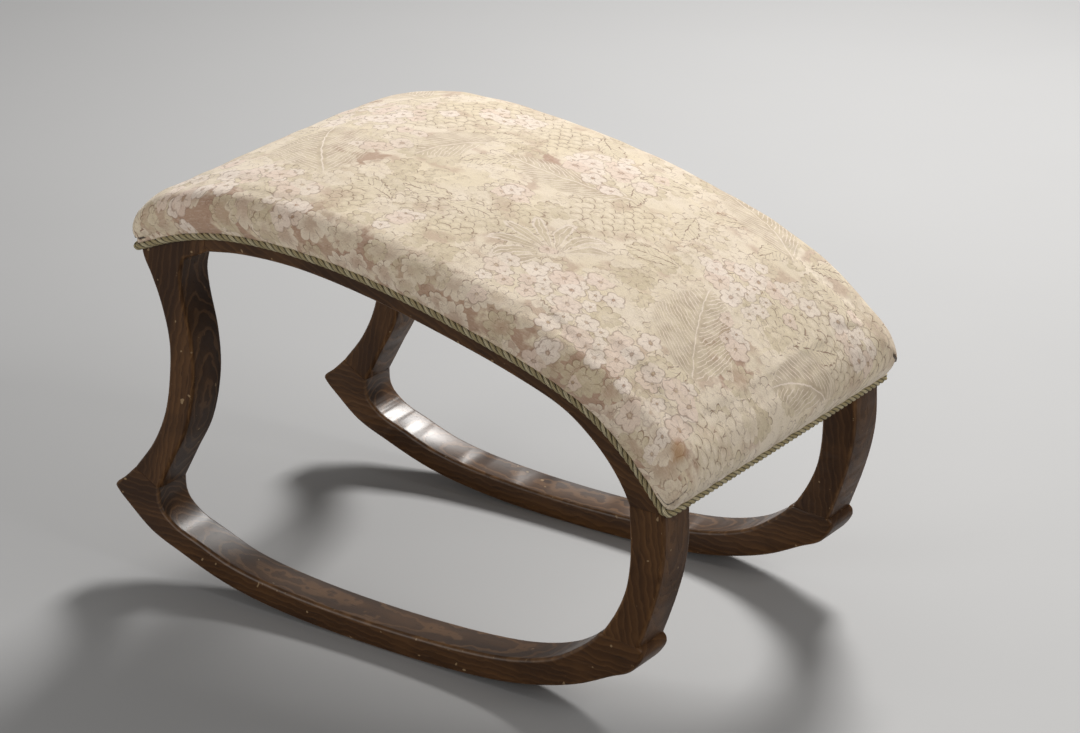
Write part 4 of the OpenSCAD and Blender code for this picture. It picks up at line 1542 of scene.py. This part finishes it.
class FOOTSTOOL_OT_cord(bpy.types.Operator):
    """Twists the strands of the trim cord and lays them round the rim"""

    bl_idname = "footstool.cord"
    bl_label = "Trim cord"

    def execute(self, context):
        look = context.scene.footstool_cord
        places = rim(CORD_D / 2 + FIT, HEM_CORNER)
        route = seat_points([(x, y, 0) for x, y in places])
        above = seat_points([(x, y, 1) for x, y in places]) - route
        closed = np.concatenate([route, route[:1]])
        along = np.concatenate([[0], np.cumsum(np.linalg.norm(np.diff(closed, axis=0), axis=1))])
        length = along[-1]
        turns = round(length / look.lay)
        steps = turns * 14
        spots = np.arange(steps) * length / steps
        lanes = [np.interp(spots, along, closed[:, k]) for k in range(3)]
        line = np.stack(lanes, axis=1)
        ups = np.concatenate([above, above[:1]])
        up = np.stack([np.interp(spots, along, ups[:, k]) for k in range(3)], axis=1)
        way = np.roll(line, -2, axis=0) - np.roll(line, 2, axis=0)
        way /= np.linalg.norm(way, axis=1)[:, None]
        side = np.cross(way, up)
        side /= np.linalg.norm(side, axis=1)[:, None]
        up = np.cross(side, way)
        n = look.strands
        strand = CORD_D / 2 * MM / (1 + 1 / math.sin(math.pi / n)) * 1.3
        orbit = CORD_D / 2 * MM - strand
        sides = 11
        points, faces, spin = [], [], []
        for s in range(n):
            start = len(points)
            angle = 2 * math.pi * (s / n - spots / length * turns)
            hub = side * np.cos(angle)[:, None] + up * np.sin(angle)[:, None]
            rise = np.cross(way, hub)
            for i in range(steps):
                for k in range(sides):
                    a = 2 * math.pi * ((k + 0.5) / sides - 0.5)
                    points.append(
                        line[i] + hub[i] * (orbit + strand * math.cos(a)) + rise[i] * strand * math.sin(a)
                    )
                    spin.append((spots[i], a / (2 * math.pi), s / n))
            for i in range(steps):
                for k in range(sides):
                    a, b = start + i * sides, start + (i + 1) % steps * sides
                    m = (k + 1) % sides
                    faces.append((a + k, a + m, b + m, b + k))
        piece = sheet_mesh("twisted_cord", points, faces)
        vector_attribute(piece, "twist", spin)
        only(piece)
        bpy.ops.object.shade_smooth()
        g = Graph("gold_cord")
        along_cord, round_strand, strand_share = g.split(g.attribute("twist"))
        tint = 0.3 + 0.5 * g.step(strand_share, 0.4, 0.6)
        fuzz = g.noise(g.place(), 1500.0, 2.0)
        yarn = g.math("SINE", (round_strand * 7 + along_cord * 260) * (2 * math.pi))
        # Painted shade: each strand darkens to 0.12 of its gold on its inner side, where it presses against the other
        # strands.
        crease_shade = g.step(abs(round_strand), 0.13, 0.27)
        base = g.blend(tint, tuple(look.gold), tuple(look.cream))
        # Fine yarn lines along each strand's twist, darker in their troughs: partly the yarn's own colour, partly
        # painted shade in its grooves.
        base = g.blend(g.step(yarn, 0.2, -0.9) * 0.35, base, tuple(c * 0.35 for c in look.gold))
        base = g.blend(g.step(fuzz, 0.5, 0.8) * 0.4, base, tuple(c * 0.4 for c in look.gold))
        base = g.blend(crease_shade * 0.85, base, tuple(c * 0.12 for c in look.gold))
        material = g.surface(
            **{"Base Color": base, "Roughness": 0.6, "Normal": g.bump(yarn + fuzz, 0.0003)}
        )
        finish_piece(piece, material, "trim_cord", "trim_cord")
        return {"FINISHED"}


# ---- Stage ----

CAMERA_PLACE = (1.66652, -2.32426, 1.40319)
CAMERA_WAY = (-0.52822, 0.75634, -0.38591)


def area_lamp(name, place, target, size, power, colour=(1, 1, 1)):
    """A soft square lamp at a place, turned to a target."""
    data = bpy.data.lights.new(name, "AREA")
    data.shape = "SQUARE"
    data.size = size
    data.energy = power
    data.color = colour
    lamp = bpy.data.objects.new(name, data)
    lamp.location = place
    lamp.rotation_euler = (Vector(target) - Vector(place)).to_track_quat("-Z", "Y").to_euler()
    bpy.context.scene.collection.objects.link(lamp)


class FOOTSTOOL_OT_stage(bpy.types.Operator):
    """Sets the floor, the lamps and the camera"""

    bl_idname = "footstool.stage"
    bl_label = "Stage"

    def execute(self, context):
        scene = context.scene
        look = scene.footstool_stage
        bpy.ops.object.select_all(action="DESELECT")
        bpy.ops.mesh.primitive_plane_add(size=14, location=(0, 0, 0))
        floor = bpy.context.object
        floor.name = "floor"
        g = Graph("pale_floor")
        place = g.place()
        cloud = g.noise(place, 2.5, 4.0)
        base = g.blend(cloud, tuple(c * 0.94 for c in look.floor), tuple(look.floor))
        floor.data.materials.append(g.surface(**{"Base Color": base, "Roughness": 0.6}))
        area_lamp("key", (-0.42, 1.95, 1.92), (0, 0, 0.2), 0.65, 72.0, (1, 0.985, 0.96))
        area_lamp("side", (3.4, 0.1, 2.4), (0, 0, 0.2), 1.6, 44.0, (1, 0.985, 0.96))
        area_lamp("front", (-1.3, -2.9, 0.95), (0, 0, 0.3), 1.8, 30.0, (1, 0.98, 0.95))
        world = bpy.data.worlds.new("studio")
        world.use_nodes = True
        world.node_tree.nodes["Background"].inputs["Color"].default_value = (1, 0.985, 0.96, 1)
        world.node_tree.nodes["Background"].inputs["Strength"].default_value = 0.18
        scene.world = world
        data = bpy.data.cameras.new("camera")
        data.lens = look.lens
        data.sensor_width = 36
        data.clip_end = 30
        camera = bpy.data.objects.new("camera", data)
        camera.location = CAMERA_PLACE
        camera.rotation_euler = Vector(CAMERA_WAY).to_track_quat("-Z", "Y").to_euler()
        scene.collection.objects.link(camera)
        scene.camera = camera
        scene.view_settings.view_transform = "Standard"
        return {"FINISHED"}


class FOOTSTOOL_PT_panel(bpy.types.Panel):
    """The footstool's settings and steps"""

    bl_idname = "FOOTSTOOL_PT_panel"
    bl_label = "Footstool"
    bl_space_type = "VIEW_3D"
    bl_region_type = "UI"
    bl_category = "Footstool"

    def draw(self, context):
        for key in GROUPS:
            group = getattr(context.scene, key)
            box = self.layout.box()
            for name in group.__annotations__:
                box.prop(group, name)
        for operator in OPERATORS:
            self.layout.operator(operator.bl_idname)


GROUPS = {
    "footstool_wood": FootstoolWood,
    "footstool_seat": FootstoolSeat,
    "footstool_cord": FootstoolCord,
    "footstool_stage": FootstoolStage,
}
OPERATORS = (
    FOOTSTOOL_OT_stage,
    FOOTSTOOL_OT_side_frames,
    FOOTSTOOL_OT_inner_wood,
    FOOTSTOOL_OT_webbing,
    FOOTSTOOL_OT_stuffing,
    FOOTSTOOL_OT_cover,
    FOOTSTOOL_OT_cord,
)


def register():
    """Adds the settings, steps and panel."""
    for item in (*GROUPS.values(), *OPERATORS, FOOTSTOOL_PT_panel):
        bpy.utils.register_class(item)
    for key, group in GROUPS.items():
        setattr(bpy.types.Scene, key, PointerProperty(type=group))


def unregister():
    """Takes the settings, steps and panel away."""
    for key in GROUPS:
        delattr(bpy.types.Scene, key)
    for item in reversed((*GROUPS.values(), *OPERATORS, FOOTSTOOL_PT_panel)):
        bpy.utils.unregister_class(item)


def main():
    """Builds every piece in order."""
    register()
    for operator in OPERATORS:
        group, step = operator.bl_idname.split(".")
        getattr(getattr(bpy.ops, group), step)()


if __name__ == "__main__":
    main()
